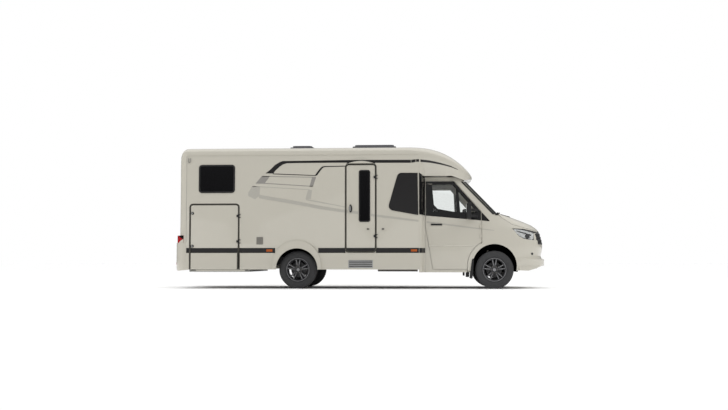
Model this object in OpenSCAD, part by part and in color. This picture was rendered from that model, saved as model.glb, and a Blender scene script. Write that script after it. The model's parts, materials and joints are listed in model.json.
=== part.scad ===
// Semi-integrated motorhome: a sandwich-panel living body behind the steel cab of a large van.
// +X is forward, +Y is left, +Z is up. The origin is on the ground under the middle of the vehicle.
// All lengths are in millimetres.

/* [Chassis] */
// Distance between the axles
wheelbase = 3840; // [3700:5:4000]
// Front axle to the tip of the front bumper
front_overhang = 1035; // [1000:5:1080]
// Rear axle to the back of the rear bumper
rear_overhang = 2475; // [2400:5:2600]
// Distance between the front wheels' middles
front_track = 1740; // [1720:2:1760]
// Distance between the rear wheels' middles
rear_track = 1760; // [1700:5:1800]
// Height of the ladder frame's rails above the ground
rail_z = 470; // [460:1:480]
// Height of a rail
rail_h = 150; // [140:1:160]
// Width of a rail
rail_w = 70; // [60:1:80]
// Distance between the rails' middles
rail_pitch = 800; // [780:5:800]

/* [Wheels] */
// Radius of the tyre
tyre_r = 370; // [360:1:376]
// Width of the tyre
tyre_w = 225; // [205:5:235]
// Height of the tyre's side above the rim's flange
tyre_side = 144; // [135:1:152]
// Width of the rim between its outer edges
rim_w = 190; // [180:2:200]
// Spoke pairs of a rim
spoke_pairs = 5; // [4:1:6]
// Radius of the wheel spindle
spindle_r = 30; // [26:1:34]

/* [Living body] */
// Width of the living body
body_w = 2290; // [2230:10:2340]
// Thickness of the side walls, the roof and the rear wall
wall_t = 35; // [30:1:45]
// Height of the roof at its middle
roof_z = 2790; // [2760:5:2820]
// Rise of the roof from its joint with the walls to its middle
roof_rise = 170; // [150:5:190]
// Underside of the side walls
wall_z = 696; // [690:1:710]
// Upper edge of the dark belt strip
belt_top_z = 794; // [780:1:800]
// Height at which the wall begins to slope in towards the belt strip
belt_slope_z = 843; // [830:1:860]
// Depth of the belt strip's recess
belt_depth = 14; // [8:1:18]
// Underside of the side skirts
skirt_z = 375; // [360:1:400]
// Thickness of the side skirts
skirt_t = 25; // [18:1:30]
// Thickness of the living floor
floor_t = 60; // [50:1:70]
// Underside of the garage floor
garage_z = 330; // [320:1:350]
// Rounding of the rear corners along the vehicle
corner_r = 165; // [140:5:200]
// Rounding of the rear corners across the vehicle and down from the roof
corner_w = 245; // [220:5:270]

/* [Doors and windows] */
// Gap around every door and lid
door_gap = 8; // [6:1:10]
// Width of the entry door's opening
entry_w = 593; // [570:1:610]
// Width of a garage door's opening
garage_w = 972; // [930:2:1000]
// Length of the bedroom windows
bed_window_w = 720; // [650:5:730]
// Height of the bedroom windows
bed_window_h = 556; // [500:2:580]
// Thickness of the double acrylic panes
pane_t = 26; // [20:1:32]
// Gap between a pane and its frame
pane_gap = 0.3; // [0.2:0.1:0.5]
// Radius of a door hinge's pin
hinge_pin_r = 4; // [3:0.5:5]
// Running clearance of a pin, shaft or ball in its bore
run_gap = 0.3; // [0.2:0.05:0.4]

/* [Cab] */
// Thickness of a cab door
cab_door_t = 70; // [60:1:80]
// Thickness of the front panels
skin_t = 18; // [15:1:22]
// Radius of the front wheel openings
front_arch_r = 430; // [420:1:440]
// Radius of the rear wheel flares' opening
rear_arch_r = 407; // [398:1:410]
// Steering axis lean towards the middle of the vehicle, in degrees
kingpin_lean = 11.7; // [11:0.1:12.4]

/* [Hidden] */
$fn = 48;
curve_n = 6;
cut = 1;

// Places along the vehicle, counted from the axles
overall_l = rear_overhang + wheelbase + front_overhang;
x_rear = -overall_l / 2;
x_front = overall_l / 2;
xr = x_rear + rear_overhang;
xf = x_front - front_overhang;
half_w = body_w / 2;
rim_r = tyre_r - tyre_side;
eaves_z = roof_z - roof_rise;
rear_seam_x = xr - 2189;
rear_face_x = rear_seam_x - corner_r;
wall_front_x = xf - 1462;
cap_joint_x = xf - 1640;
cap_nose_x = xf - 395;
cab_rear_x = xf - 1334;
cab_floor_x = xf - 1400;
firewall_x = xf - 90;
rail_top_z = rail_z + rail_h;
rail_in_y = rail_pitch / 2 - rail_w / 2;
rail_out_y = rail_pitch / 2 + rail_w / 2;
floor_top_z = rail_top_z + floor_t;
rail_rear_x = xr - 850;
rail_front_x = xf + 640;
tub_front_x = xr - 930;
tub_rear_x = rear_seam_x + 60;

paint = [0.77, 0.76, 0.71];
black = [0.07, 0.07, 0.08];
glass = [0.10, 0.11, 0.12];
steel = [0.25, 0.25, 0.26];

// Outlines
function unit(v) = v / norm(v);
function corner_arc(a, b, c, r) =
    let (
        u = unit(a - b), w = unit(c - b),
        half = acos(u * w) / 2,
        centre = b + unit(u + w) * r / sin(half),
        p0 = b + u * r / tan(half), p1 = b + w * r / tan(half),
        a0 = atan2(p0.y - centre.y, p0.x - centre.x),
        a1 = atan2(p1.y - centre.y, p1.x - centre.x),
        sweep = (a1 - a0 + 540) % 360 - 180
    )
    [for (i = [0:curve_n]) centre + r * [cos(a0 + sweep * i / curve_n), sin(a0 + sweep * i / curve_n)]];
// An outline from a list of [x, z, corner radius]
function rounded(v) =
    let (k = len(v))
    [for (i = [0:k - 1])
        let (a = v[(i + k - 1) % k], b = v[i], c = v[(i + 1) % k])
        each (b[2] > 0 ? corner_arc([a.x, a.y], [b.x, b.y], [c.x, c.y], b[2]) : [[b.x, b.y]])];
function box_outline(x0, z0, x1, z1, r) =
    rounded([[x0, z0, r], [x1, z0, r], [x1, z1, r], [x0, z1, r]]);

// A side view outline, given as X and Z, made into a plate from y0 to y1
module side_plate(y0, y1) {
    translate([0, y1, 0]) rotate([90, 0, 0]) linear_extrude(y1 - y0) children();
}
// A cross section, given as Y and Z, drawn out from x0 to x1
module along_x(x0, x1) {
    translate([x0, 0, 0]) rotate([90, 0, 90]) linear_extrude(x1 - x0) children();
}
module block(x0, x1, y0, y1, z0, z1) {
    translate([x0, y0, z0]) cube([x1 - x0, y1 - y0, z1 - z0]);
}
module tube_y(x, y0, y1, z, r) {
    translate([x, y1, z]) rotate([90, 0, 0]) cylinder(r = r, h = y1 - y0);
}
module both_sides() {
    children();
    mirror([0, 1, 0]) children();
}
// Curved panels are cut from lofted skins as one faceted piece
module skin() { resize([0, 0, 0]) children(); }
module loft(sections) {
    n = len(sections[0]);
    m = len(sections);
    polyhedron(
        points = [for (s = sections) each s],
        faces = concat(
            [[for (i = [0:n - 1]) i]],
            [for (j = [0:m - 2]) for (i = [0:n - 1])
                let (k = (i + 1) % n, a = j * n + i, b = j * n + k, c = b + n, d = a + n)
                each [[a, c, b], [a, d, c]]],
            [[for (i = [n - 1:-1:0]) (m - 1) * n + i]]
        )
    );
}

// Living body
wall_y = half_w - wall_t;
roof_round_z = eaves_z - 20;
// The roof's cross section: an arch w wide each side, from height zm up to zc, squarer for a larger n
function arch(w, zm, zc, n) =
    [for (i = [0:16])
        let (a = 180 - i * 180 / 16, c = cos(a), s = max(0, sin(a)))
        [w * sign(c) * pow(abs(c), 2 / n), zm + (zc - zm) * pow(s, 2 / n)]];
function body_section(d, zb) =
    concat(
        [[-(half_w - d), zb]],
        arch(half_w - d, roof_round_z - d / 2, roof_z - d, 4.6),
        [[half_w - d, zb]]
    );
function at_x(x, section) = [for (p = section) [x, p.x, p.y]];
module wall_profile() {
    polygon([
        [-half_w, eaves_z], [-half_w, belt_slope_z], [-half_w + belt_depth, belt_top_z],
        [-half_w + belt_depth, wall_z], [-wall_y, wall_z], [-wall_y, eaves_z]
    ]);
}
entry_x0 = xr + round(0.248 * wheelbase);
entry_x1 = entry_x0 + entry_w;
entry_z0 = wall_z + 20;
entry_top_z = eaves_z - 195;
garage_x0 = xr - 2116;
garage_x1 = garage_x0 + garage_w;
bed_window_x = xr - 1946;
bed_window_z = eaves_z - 747;
garage_top_z = bed_window_z - 220;
lounge_span = wall_front_x - entry_x1;
module entry_opening() {
    polygon(box_outline(entry_x0, entry_z0, entry_x1, entry_top_z, 60));
}
module entry_window() {
    polygon(box_outline(entry_x0 + 258, eaves_z - 1323, entry_x0 + 482, eaves_z - 308, 45));
}
module garage_opening(z0) {
    polygon(rounded([
        [garage_x0, z0, 0], [garage_x1, z0, 0],
        [garage_x1, garage_top_z, 60], [garage_x0, garage_top_z, 60]
    ]));
}
module bed_window() {
    polygon(box_outline(
        bed_window_x, bed_window_z, bed_window_x + bed_window_w, bed_window_z + bed_window_h, 65
    ));
}
module lounge_window_right() {
    polygon(rounded([
        [wall_front_x - 0.683 * lounge_span, eaves_z - 1072, 90], [wall_front_x - 14, eaves_z - 1174, 12],
        [wall_front_x - 24, eaves_z - 373, 12], [wall_front_x - 0.448 * lounge_span, eaves_z - 371, 90]
    ]));
}
module lounge_window_left() {
    polygon(box_outline(wall_front_x - 900, eaves_z - 1060, wall_front_x - 200, eaves_z - 420, 65));
}
rear_arch_z = tyre_r + 10;
module rear_arch(r) { translate([xr, rear_arch_z]) circle(r); }
module wall_blank() { along_x(rear_seam_x + pane_gap, wall_front_x) wall_profile(); }
module wall_cuts(y0, y1) {
    side_plate(y0, y1) garage_opening(wall_z - 50);
    side_plate(y0, y1) bed_window();
    side_plate(y0, y1) rear_arch(rear_arch_r + 10);
}

// Hinges outside the skin: a pin between two brackets on the body, and a barrel on the door
hinge_off = 10;
hinge_h = 44;
barrel_r = hinge_pin_r + 5;
module hinge_pin(x, y, z, side_y) {
    translate([x, y, z - 16]) cylinder(r = hinge_pin_r, h = hinge_h + 32);
    for (z0 = [z - 16, z + hinge_h + 1]) {
        translate([x, y, z0]) cylinder(r = barrel_r, h = 15);
        block(x, x + 36, y - 5, side_y, z0, z0 + 15);
    }
}
module hinge_barrel(x, y, z, side_y) {
    difference() {
        union() {
            translate([x, y, z]) cylinder(r = barrel_r, h = hinge_h);
            block(x - 40, x - 2, y - 5, side_y, z, z + hinge_h);
        }
        translate([x, y, z - cut]) cylinder(r = hinge_pin_r + run_gap, h = hinge_h + 2 * cut);
    }
}
hinge_y = -half_w - hinge_off;
entry_hinge_x = entry_x1 - door_gap / 2;
garage_hinge_x = garage_x1 - door_gap / 2;
entry_hinge_z = [1000, entry_top_z - 275];
garage_hinge_z = [900, garage_top_z - 253];

module right_wall() color(paint) {
    difference() {
        wall_blank();
        wall_cuts(-half_w - 50, -wall_y + 50);
        side_plate(-half_w - 50, -wall_y + 50) entry_opening();
        side_plate(-half_w - 50, -wall_y + 50) lounge_window_right();
    }
    for (z = entry_hinge_z) hinge_pin(entry_hinge_x, hinge_y, z, -half_w + 3);
    for (z = garage_hinge_z) hinge_pin(garage_hinge_x, hinge_y, z, -half_w + 3);
}
module left_wall() color(paint) mirror([0, 1, 0]) {
    difference() {
        wall_blank();
        wall_cuts(-half_w - 50, -wall_y + 50);
        side_plate(-half_w - 50, -wall_y + 50) lounge_window_left();
    }
    for (z = garage_hinge_z) hinge_pin(garage_hinge_x, hinge_y, z, -half_w + 3);
}
bumper_top_z = 900;
module rear_wall() color(paint) skin() {
    difference() {
        loft([for (a = [0:15:90])
            let (d = corner_w * (1 - cos(a)))
            at_x(rear_seam_x - corner_r * sin(a), body_section(d, bumper_top_z + pane_gap))]);
        loft([
            for (a = [0:15:90])
            let (d = wall_t + (corner_w - wall_t) * (1 - cos(a)))
            at_x(
                rear_seam_x + (a == 0 ? cut : 0) - (corner_r - wall_t) * sin(a),
                body_section(d, bumper_top_z - 50)
            )]);
    }
}

// Roof
hatch_gap = 6;
front_hatch = [xf - 2815, xf - 1933, 330];
rear_hatch = [xr - 266, xr + 218, 240];
hatch_z = roof_z + 24;
module hatch_hole(h, d) {
    translate([h[0] + d, -h[2] + d, roof_z - 300]) cube([h[1] - h[0] - 2 * d, 2 * h[2] - 2 * d, 500]);
}
module hatch_rim(h) {
    difference() {
        block(h[0] + 30, h[1] - 30, -h[2] + 30, h[2] - 30, roof_z - 20, hatch_z);
        hatch_hole(h, 60);
    }
}
module roof_panel() color(paint) {
    difference() {
        along_x(rear_seam_x + pane_gap, cap_joint_x) difference() {
            polygon(body_section(0, roof_round_z - 200));
            polygon(body_section(wall_t, roof_round_z - 201));
            translate([-2 * half_w, 0]) square([4 * half_w, eaves_z + pane_gap]);
        }
        hatch_hole(front_hatch, 60);
        hatch_hole(rear_hatch, 60);
    }
    hatch_rim(front_hatch);
    hatch_rim(rear_hatch);
    translate([xr + 545, 0, roof_z - 10]) cylinder(r = 118, h = 48);
    translate([xr + 545, 0, roof_z + 30]) cylinder(r1 = 135, r2 = 105, h = 30);
    for (h = [front_hatch, rear_hatch]) for (y = [-h[2] * 0.6, h[2] * 0.6]) {
        tube_y(h[0] - 14, y - 38, y + 38, hatch_z + 14, hinge_pin_r);
        for (y0 = [y - 42, y + 25]) block(h[0] - 22, h[0] - 6, y0, y0 + 17, roof_z - 10, hatch_z + 20);
    }
}
module hatch_lid(h) {
    difference() {
        union() {
            translate([0, 0, hatch_z + hatch_gap])
                linear_extrude(46) polygon(box_outline(h[0], -h[2], h[1], h[2], 50));
            translate([0, 0, hatch_z + hatch_gap + 46])
                linear_extrude(34) polygon(box_outline(h[0] + 45, -h[2] + 45, h[1] - 45, h[2] - 45, 70));
        }
        translate([0, 0, hatch_z + hatch_gap - cut])
            linear_extrude(46) polygon(box_outline(h[0] + 20, -h[2] + 20, h[1] - 20, h[2] - 20, 30));
    }
    for (y = [-h[2] * 0.6, h[2] * 0.6]) difference() {
        union() {
            tube_y(h[0] - 14, y - 20, y + 20, hatch_z + 14, barrel_r);
            block(h[0] - 14, h[0] + 8, y - 20, y + 20, hatch_z + 8, hatch_z + 22);
        }
        tube_y(h[0] - 14, y - 21, y + 21, hatch_z + 14, hinge_pin_r + run_gap);
    }
}
module roof_hatch_front() color(glass) hatch_lid(front_hatch);
module roof_hatch_rear() color(glass) hatch_lid(rear_hatch);

// Overcab cap: stations run from the roof joint, s = 0, to the nose, s = 1
cap_stations = [0, 0.08, 0.16, 0.26, 0.36, 0.46, 0.56, 0.66, 0.74, 0.80, 0.85, 0.90, 0.94, 0.97, 0.99];
// Lower edge of the cap's flanks: [s, drop below the roof]
cap_drop = [[0, 590], [0.66, 590], [0.76, 625], [0.85, 665], [0.90, 650], [0.97, 625], [1, 610]];
function cap_edge_z(s) = roof_z - lookup(s, cap_drop);
function cap_x(s) = cap_joint_x + s * (cap_nose_x - cap_joint_x);
function cap_half_w(s) = half_w * pow(1 - pow(max(0, s - 0.16) / 0.84, 3), 1 / 3);
function cap_top_z(s) = roof_z - 560 * pow(s, 2.6);
function cap_wide_z(s) = cap_top_z(s) - (roof_z - roof_round_z) - 60 * sin(180 * s) + 150 * s * s;
function cap_section(s, d, zb) =
    let (w = cap_half_w(s) - d, foot = w * (1 - 0.16 * min(1, max(0, s - 0.15) / 0.15) * (1 - s)))
    concat(
        [[-foot, zb]],
        arch(w, cap_wide_z(s) - d / 2, cap_top_z(s) - d, 4.6 - 2.2 * s),
        [[foot, zb]]
    );
module roof_cap() color(paint) skin() {
    difference() {
        loft([for (s = reversed(cap_stations)) at_x(cap_x(s), cap_section(s, 0, cap_edge_z(s)))]);
        loft([for (s = [for (q = reversed(cap_stations)) if (q < 0.98) q])
            at_x(cap_x(s) - (s == 0 ? cut : 0),
                cap_section(s, wall_t, cap_edge_z(s) + (s > 0.6 && s < 0.84 ? -60 : 28)))]);
        block(
            cap_joint_x - 50, wall_front_x + pane_gap, -half_w - 50, half_w + 50,
            roof_z - 790, eaves_z + pane_gap
        );
    }
}

// Skirts, flares and bumper
skirt_gap = 0.3;
module skirt_outline() {
    difference() {
        polygon([
            [garage_x1, skirt_z], [wall_front_x, skirt_z],
            [wall_front_x, wall_z - skirt_gap], [garage_x1, wall_z - skirt_gap]
        ]);
        rear_arch(rear_arch_r + 8);
    }
}
step_x0 = entry_x0 + 55;
step_x1 = step_x0 + 480;
step_z0 = 404;
step_z1 = 559;
module side_skirts() color(paint) {
    difference() {
        side_plate(-half_w, -half_w + skirt_t) skirt_outline();
        block(step_x0, step_x1, -half_w - 50, -half_w + 50, step_z0, step_z1);
    }
    mirror([0, 1, 0]) side_plate(-half_w, -half_w + skirt_t) skirt_outline();
}
module entry_step() color(steel) {
    step_y = -half_w + 3;
    block(step_x0 + 0.3, step_x1 - 0.3, step_y + 40, step_y + 50, step_z0 + 0.3, step_z1 - 0.3);
    for (x = [step_x0 + 0.3, step_x1 - 14.3])
        block(x, x + 14, step_y, step_y + 45, step_z0 + 0.3, step_z1 - 0.3);
    for (i = [0:3]) translate([0, 0, i * 40])
        block(step_x0 + 5, step_x1 - 5, step_y, step_y + 45, step_z0 + 4, step_z0 + 26);
}
flare_t = 22;
module flare_outline() {
    intersection() {
        difference() {
            translate([xr - 5, 460]) union() {
                circle(480);
                translate([-480, -300]) square([960, 300]);
            }
            rear_arch(rear_arch_r);
            translate([xr - rear_arch_r, 0]) square([2 * rear_arch_r, rear_arch_z]);
        }
        translate([xr - 600, skirt_z]) square([1200, 700]);
    }
}
module wheel_flares() color(paint) both_sides() side_plate(-half_w - flare_t, -half_w - 0.2) flare_outline();
bumper_z = 345;
bumper_t = 30;
bumper_x1 = garage_x0 - door_gap;
bumper_round = [260, 520];
// One end of the rear outline, seen from above: an elliptic corner from the side to the rear face at x
function rear_corner(x, w, r) = [for (t = [90:-10:0]) [x + r.x * (1 - cos(t)), w - r.y * (1 - sin(t))]];
function rear_outline(x1, x, w, r) =
    let (c = rear_corner(x, w, r))
    concat([[x1, -w], [x1, w]], c, reversed([for (p = c) [p.x, -p.y]]));
module bumper_plan(x1) {
    difference() {
        polygon(rear_outline(x1, x_rear, half_w, bumper_round));
        polygon(rear_outline(x1 + 5, x_rear + bumper_t, half_w - bumper_t, bumper_round));
    }
}
module rear_bumper() color(paint) {
    intersection() {
        union() {
            translate([0, 0, bumper_z]) linear_extrude(wall_z - skirt_gap - bumper_z) bumper_plan(bumper_x1);
            translate([0, 0, bumper_z]) linear_extrude(bumper_top_z - bumper_z)
                bumper_plan(rear_seam_x - skirt_gap);
        }
        side_plate(-half_w - 50, half_w + 50) polygon(rounded([
            [bumper_x1 + 50, bumper_z + 25, 0], [x_rear + 350, bumper_z + 25, 60],
            [x_rear + 70, bumper_z, 60],
            [x_rear, bumper_z + 150, 120], [x_rear, bumper_top_z - 20, 40], [x_rear + 70, bumper_top_z, 20],
            [bumper_x1 + 50, bumper_top_z, 0]
        ]));
    }
    block(x_rear + 20, rear_face_x + wall_t, -750, 750, bumper_top_z - 40, bumper_top_z);
}

// Panes and lamps of the living body
module pane(y0) { side_plate(y0, y0 + pane_t) offset(delta = -pane_gap) children(); }
module side_windows() color(glass) {
    pane(-half_w - 5) bed_window();
    pane(-half_w - 5) lounge_window_right();
    mirror([0, 1, 0]) pane(-half_w - 5) bed_window();
    mirror([0, 1, 0]) pane(-half_w - 5) lounge_window_left();
}
lamp_h = 140;
lamp_in = 330;
lamp_proud = 55;
module tail_lamps() color([0.55, 0.05, 0.05]) both_sides() intersection() {
    translate([0, 0, bumper_top_z + pane_gap]) linear_extrude(lamp_h) difference() {
        polygon(rear_outline(
            rear_seam_x, rear_face_x - lamp_proud, half_w, [corner_r + lamp_proud, corner_w - 20]
        ));
        polygon(rear_outline(rear_seam_x + cut, rear_face_x - 1, half_w + 1, [corner_r, corner_w]));
    }
    block(
        rear_face_x - 100, rear_face_x + 110, -half_w, -half_w + lamp_in,
        bumper_top_z, bumper_top_z + lamp_h + 1
    );
}
// Amber side markers: [distance from the axle, 0 for the rear axle or 1 for the front axle]
markers = [[-541, 0], [-1558, 1]];
module marker_lamps() color([0.85, 0.45, 0.08]) both_sides() for (m = markers)
    translate([m[1] == 0 ? xr + m[0] : xf + m[0], -half_w + belt_depth - 9, (wall_z + belt_top_z) / 2 - 22])
        translate([-60, 0, 0]) cube([120, 9 - 0.2, 44]);
// Pillars that narrow the body from the living walls to the cab
pillar_z0 = 321;
pillar_z1 = roof_z - 592;
cab_w_table = [[300, 978], [600, 1000], [900, 1006], [1180, 992], [1420, 955], [2230, 824]];
function cab_w(z) = lookup(z, cab_w_table);
module door_pillars() color(paint) both_sides() skin() difference() {
    loft([for (z = [pillar_z0, 600, 900, 1180, 1420, pillar_z1])
        let (w = cab_w(z), x1 = cab_rear_x - door_gap)
        [[wall_front_x + 0.3, -half_w, z], [wall_front_x + 30, -half_w, z],
            [wall_front_x + 55, -half_w + 14, z],
            [x1 - 18, -w - 16, z], [x1, -w, z], [x1, -w + 20, z],
            [wall_front_x + 30, -wall_y + 20, z], [wall_front_x + 0.3, -wall_y + 20, z]]]);
    block(
        wall_front_x + 0.3 - cut, wall_front_x + 20, -half_w + skirt_t + 8, -wall_y + 30,
        pillar_z0 - 5, wall_z
    );
}

// Doors of the living body
module door_panel(y0, y1) {
    intersection() {
        wall_blank();
        side_plate(y0, y1) offset(delta = -door_gap) children();
    }
}
module entry_door() color(paint) {
    difference() {
        door_panel(-half_w - 50, -wall_y + 50) entry_opening();
        side_plate(-half_w - 50, -wall_y + 50) entry_window();
    }
    for (z = entry_hinge_z) hinge_barrel(entry_hinge_x, hinge_y, z, -half_w + 3);
    block(entry_x0 + 50, entry_x0 + 105, -half_w - 14, -half_w + 3, 1480, 1640);
}
module entry_door_window() color(glass) pane(-half_w - 4) entry_window();
module garage_door() color(paint) {
    difference() {
        union() {
            intersection() {
                wall_blank();
                side_plate(-half_w - 50, -wall_y + 50)
                    offset(delta = -door_gap) garage_opening(skirt_z - door_gap);
            }
            side_plate(-half_w, -half_w + skirt_t)
                polygon([
                    [garage_x0 + door_gap, skirt_z], [garage_x1 - door_gap, skirt_z],
                    [garage_x1 - door_gap, wall_z + 1], [garage_x0 + door_gap, wall_z + 1]
                ]);
        }
        side_plate(-half_w - 50, -half_w + belt_depth) polygon([
            [garage_x0, wall_z], [garage_x1, wall_z], [garage_x1, belt_top_z], [garage_x0, belt_top_z]
        ]);
    }
    for (z = garage_hinge_z) hinge_barrel(garage_hinge_x, hinge_y, z, -half_w + 3);
}
module garage_door_right() garage_door();
module garage_door_left() mirror([0, 1, 0]) garage_door();

// Cab sides
module cab_profile(d0, d1) {
    polygon(concat(
        [for (r = cab_w_table) [-(r[1] - d0), r[0]]],
        [for (i = [len(cab_w_table) - 1:-1:0]) [-(cab_w_table[i][1] - d1), cab_w_table[i][0]]]
    ));
}
module cab_side(d0, d1) {
    intersection() {
        along_x(cab_floor_x - 100, xf + 200) cab_profile(d0, d1);
        side_plate(-1100, -600) translate([xf, 0]) children();
    }
}
arch_z = tyre_r + 70;
door_arch_r = front_arch_r + 100;
cab_door_x = -248;
cab_door_z = 375;
cab_door_top = 2108;
door_line = [[cab_door_x, 1500], [-778, cab_door_top]];
module cab_door_outline() {
    polygon(concat(
        rounded([
            [-526, cab_door_z, 0], [-1192, cab_door_z, 40], [-1287, 948, 100],
            [cab_rear_x - xf, 1200, 300], [cab_rear_x - xf, cab_door_top, 40],
            [door_line[1].x, door_line[1].y, 110], [door_line[0].x, door_line[0].y, 60],
            [cab_door_x, 1000, 0]
        ]),
        [for (a = [acos(cab_door_x / door_arch_r):8:188])
            [door_arch_r * cos(a), max(cab_door_z, arch_z + door_arch_r * sin(a))]]
    ));
}
module cab_window_outline() {
    polygon(rounded([
        [-1225, 2060, 45], [-800, 2060, 90], [-352, 1545, 40], [-352, 1462, 30], [-1203, 1490, 45]
    ]));
}
cab_hinge_x = xf + cab_door_x + door_gap / 2;
cab_hinge_y = -1010;
cab_hinge_z = [1000, 1190];
module cab_hinge_pockets() {
    for (z = cab_hinge_z)
        translate([cab_hinge_x, cab_hinge_y, z - 20]) cylinder(r = 15, h = hinge_h + 42);
}
module cab_door() {
    difference() {
        cab_side(0, cab_door_t) cab_door_outline();
        side_plate(-1200, -600) translate([xf, 0]) cab_window_outline();
        cab_hinge_pockets();
    }
    for (z = cab_hinge_z) hinge_barrel(cab_hinge_x, cab_hinge_y, z, -cab_w(z) + 6);
    block(xf - 1228, xf - 1014, -cab_w(1250) - 14, -cab_w(1250) + 8, 1236, 1264);
}
module cab_door_right() color(paint) cab_door();
module cab_door_left() color(paint) mirror([0, 1, 0]) cab_door();
module cab_glass() { cab_side(30, 36) offset(delta = -pane_gap) cab_window_outline(); }
module cab_glass_right() color(glass) cab_glass();
module cab_glass_left() color(glass) mirror([0, 1, 0]) cab_glass();
module mirror_unit() {
    translate([xf - 552, -1275, 1349]) hull() {
        for (y = [22, 168], z = [22, 288])
            translate([34, y, z]) rotate([0, 90, 0]) cylinder(r = 22, h = 60, $fn = 12);
        for (y = [40, 150], z = [40, 270])
            translate([8, y, z]) rotate([0, 90, 0]) cylinder(r = 22, h = 90, $fn = 12);
    }
    for (z = [1392, 1510]) hull() {
        translate([xf - 500, -1110, z]) cube([30, 10, 46]);
        translate([xf - 360, -cab_w(z - 10) - 2, z - 10]) cube([50, 1.8, 60]);
    }
}
module mirror_right() color(black) mirror_unit();
module mirror_left() color(black) mirror([0, 1, 0]) mirror_unit();

// Windscreen: [height, forward place of the middle, forward place of the edges]
screen_rows = [[1446, 97, 20], [1780, -220, -295], [2108, -536, -606]];
pillar_in = 70;
function screen_row(r, d) =
    let (w = cab_w(r[0]) - pillar_in - 0.4)
    [for (i = [-8:8]) [xf + r[1] - d - (r[1] - r[2]) * pow(i / 8, 2), w * i / 8, r[0] - d]];
function reversed(v) = [for (i = [len(v) - 1:-1:0]) v[i]];
module windscreen() color(glass) skin()
    loft([for (r = screen_rows) concat(screen_row(r, 0), reversed(screen_row(r, 5)))]);

// Cab frame
bonnet_hinge_x = xf + 80;
bonnet_hinge_y = 720;
bonnet_hinge_z = 1486;
sill_z = 321;
module frame_outline() {
    polygon(concat(
        [[cab_floor_x - xf + 0.4, sill_z]],
        [for (a = [195:-8:107])
            [(front_arch_r + 42) * cos(a), max(sill_z, arch_z + (front_arch_r + 42) * sin(a))]],
        [[-130, 1380], [24, 1380], [24, 1440], [-600, 2108], [-670, 2185], [cab_floor_x - xf + 0.4, 2185]]
    ));
}
module fender_zone() {
    polygon([[cab_door_x, 0], [cab_door_x, 1322], [-84, 1308], [30, 1425], [300, 1425], [300, 0]]);
}
module glass_zone() {
    polygon([[10, 1436], [-616, 2098], [-616, 2400], [400, 2400], [400, 1436]]);
}
module cab_frame() color(paint) {
    both_sides() {
        difference() {
            union() {
                cab_side(0, pillar_in) difference() {
                    frame_outline();
                    offset(delta = door_gap) cab_door_outline();
                    fender_zone();
                    translate([0, arch_z]) circle(door_arch_r + 14);
                    translate([-1700, sill_z - 10]) square([360, 2100]);
                }
                cab_side(cab_door_t + 6, 150) difference() {
                    frame_outline();
                    offset(delta = -60) cab_door_outline();
                    glass_zone();
                }
                cab_side(pillar_in - 8, cab_door_t + 10) difference() {
                    frame_outline();
                    offset(delta = door_gap) cab_door_outline();
                    translate([-250, 0]) square([500, 1330]);
                    glass_zone();
                }
            }
            cab_hinge_pockets();
        }
        for (z = cab_hinge_z) {
            translate([cab_hinge_x, cab_hinge_y, z - 16]) cylinder(r = hinge_pin_r, h = hinge_h + 32);
            for (z0 = [z - 16, z + hinge_h + 1]) {
                translate([cab_hinge_x, cab_hinge_y, z0]) cylinder(r = 7, h = 15);
                block(cab_hinge_x - 2, cab_hinge_x + 3, cab_hinge_y, -cab_w(z0) + 90, z0, z0 + 15);
            }
        }
    }
    block(cab_floor_x + 0.4, xf - 480, -870, 870, rail_top_z + 0.2, rail_top_z + 40);
    block(xf - 490, firewall_x, -539.7, 539.7, rail_top_z + 0.2, rail_top_z + 40);
    block(firewall_x - 30, firewall_x, -575, 575, rail_top_z + 20, 1400);
    block(firewall_x - 30, firewall_x, -820, 820, 940, 1400);
    block(firewall_x - 30, xf + 84, -800, 800, 1380, 1440.6);
    for (y = [-bonnet_hinge_y, bonnet_hinge_y]) {
        tube_y(bonnet_hinge_x, y - 36, y + 36, bonnet_hinge_z, hinge_pin_r);
        for (y0 = [y - 38, y + 22]) block(bonnet_hinge_x - 12, bonnet_hinge_x + 4, y0, y0 + 16, 1420, 1494);
    }
    block(xf - 690, xf - 640, -790, 790, 2118, 2180);
}

// Front panels, lofted in level slices: [height, nose ahead of the axle, plan exponent]
nose_levels = [
    [345, 700, 3.0], [380, 900, 3.0], [425, 977, 3.0], [450, 1031, 3.2], [570, 1035, 3.2], [590, 985, 3.0],
    [640, 968, 3.0], [720, 990, 3.0], [800, 1000, 3.0], [900, 1000, 3.0], [1000, 980, 2.9], [1098, 954, 2.8],
    [1180, 884, 2.7], [1251, 784, 2.6], [1333, 583, 2.5], [1405, 381, 2.4], [1450, 190, 2.3], [1476, 84, 2.2]
];
nose_root = 60;
nose_back = -560;
nose_scale = front_overhang / 1035;
function nose_slice(l, d, back) =
    let (a = l[1] * nose_scale - nose_root - d, b = cab_w(l[0]) - d, z = l[0] - d)
    concat(
        [[xf + back, -b, z]],
        [for (i = [0:24])
            let (t = 180 - i * 7.5, c = cos(t), s = max(0, sin(t)))
            [xf + nose_root + max(1, a) * pow(s, 2 / l[2]), b * sign(c) * pow(abs(c), 2 / l[2]), z]],
        [[xf + back, b, z]]
    );
module nose_skin(d0, d1) {
    difference() {
        loft([for (l = nose_levels) nose_slice(l, d0, nose_back)]);
        loft(concat(
            [[for (p = nose_slice(nose_levels[0], d1, nose_back - 20)) [p.x, p.y, p.z - 40]]],
            [for (l = nose_levels) nose_slice(l, d1, nose_back - 20)]
        ));
    }
}
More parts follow.
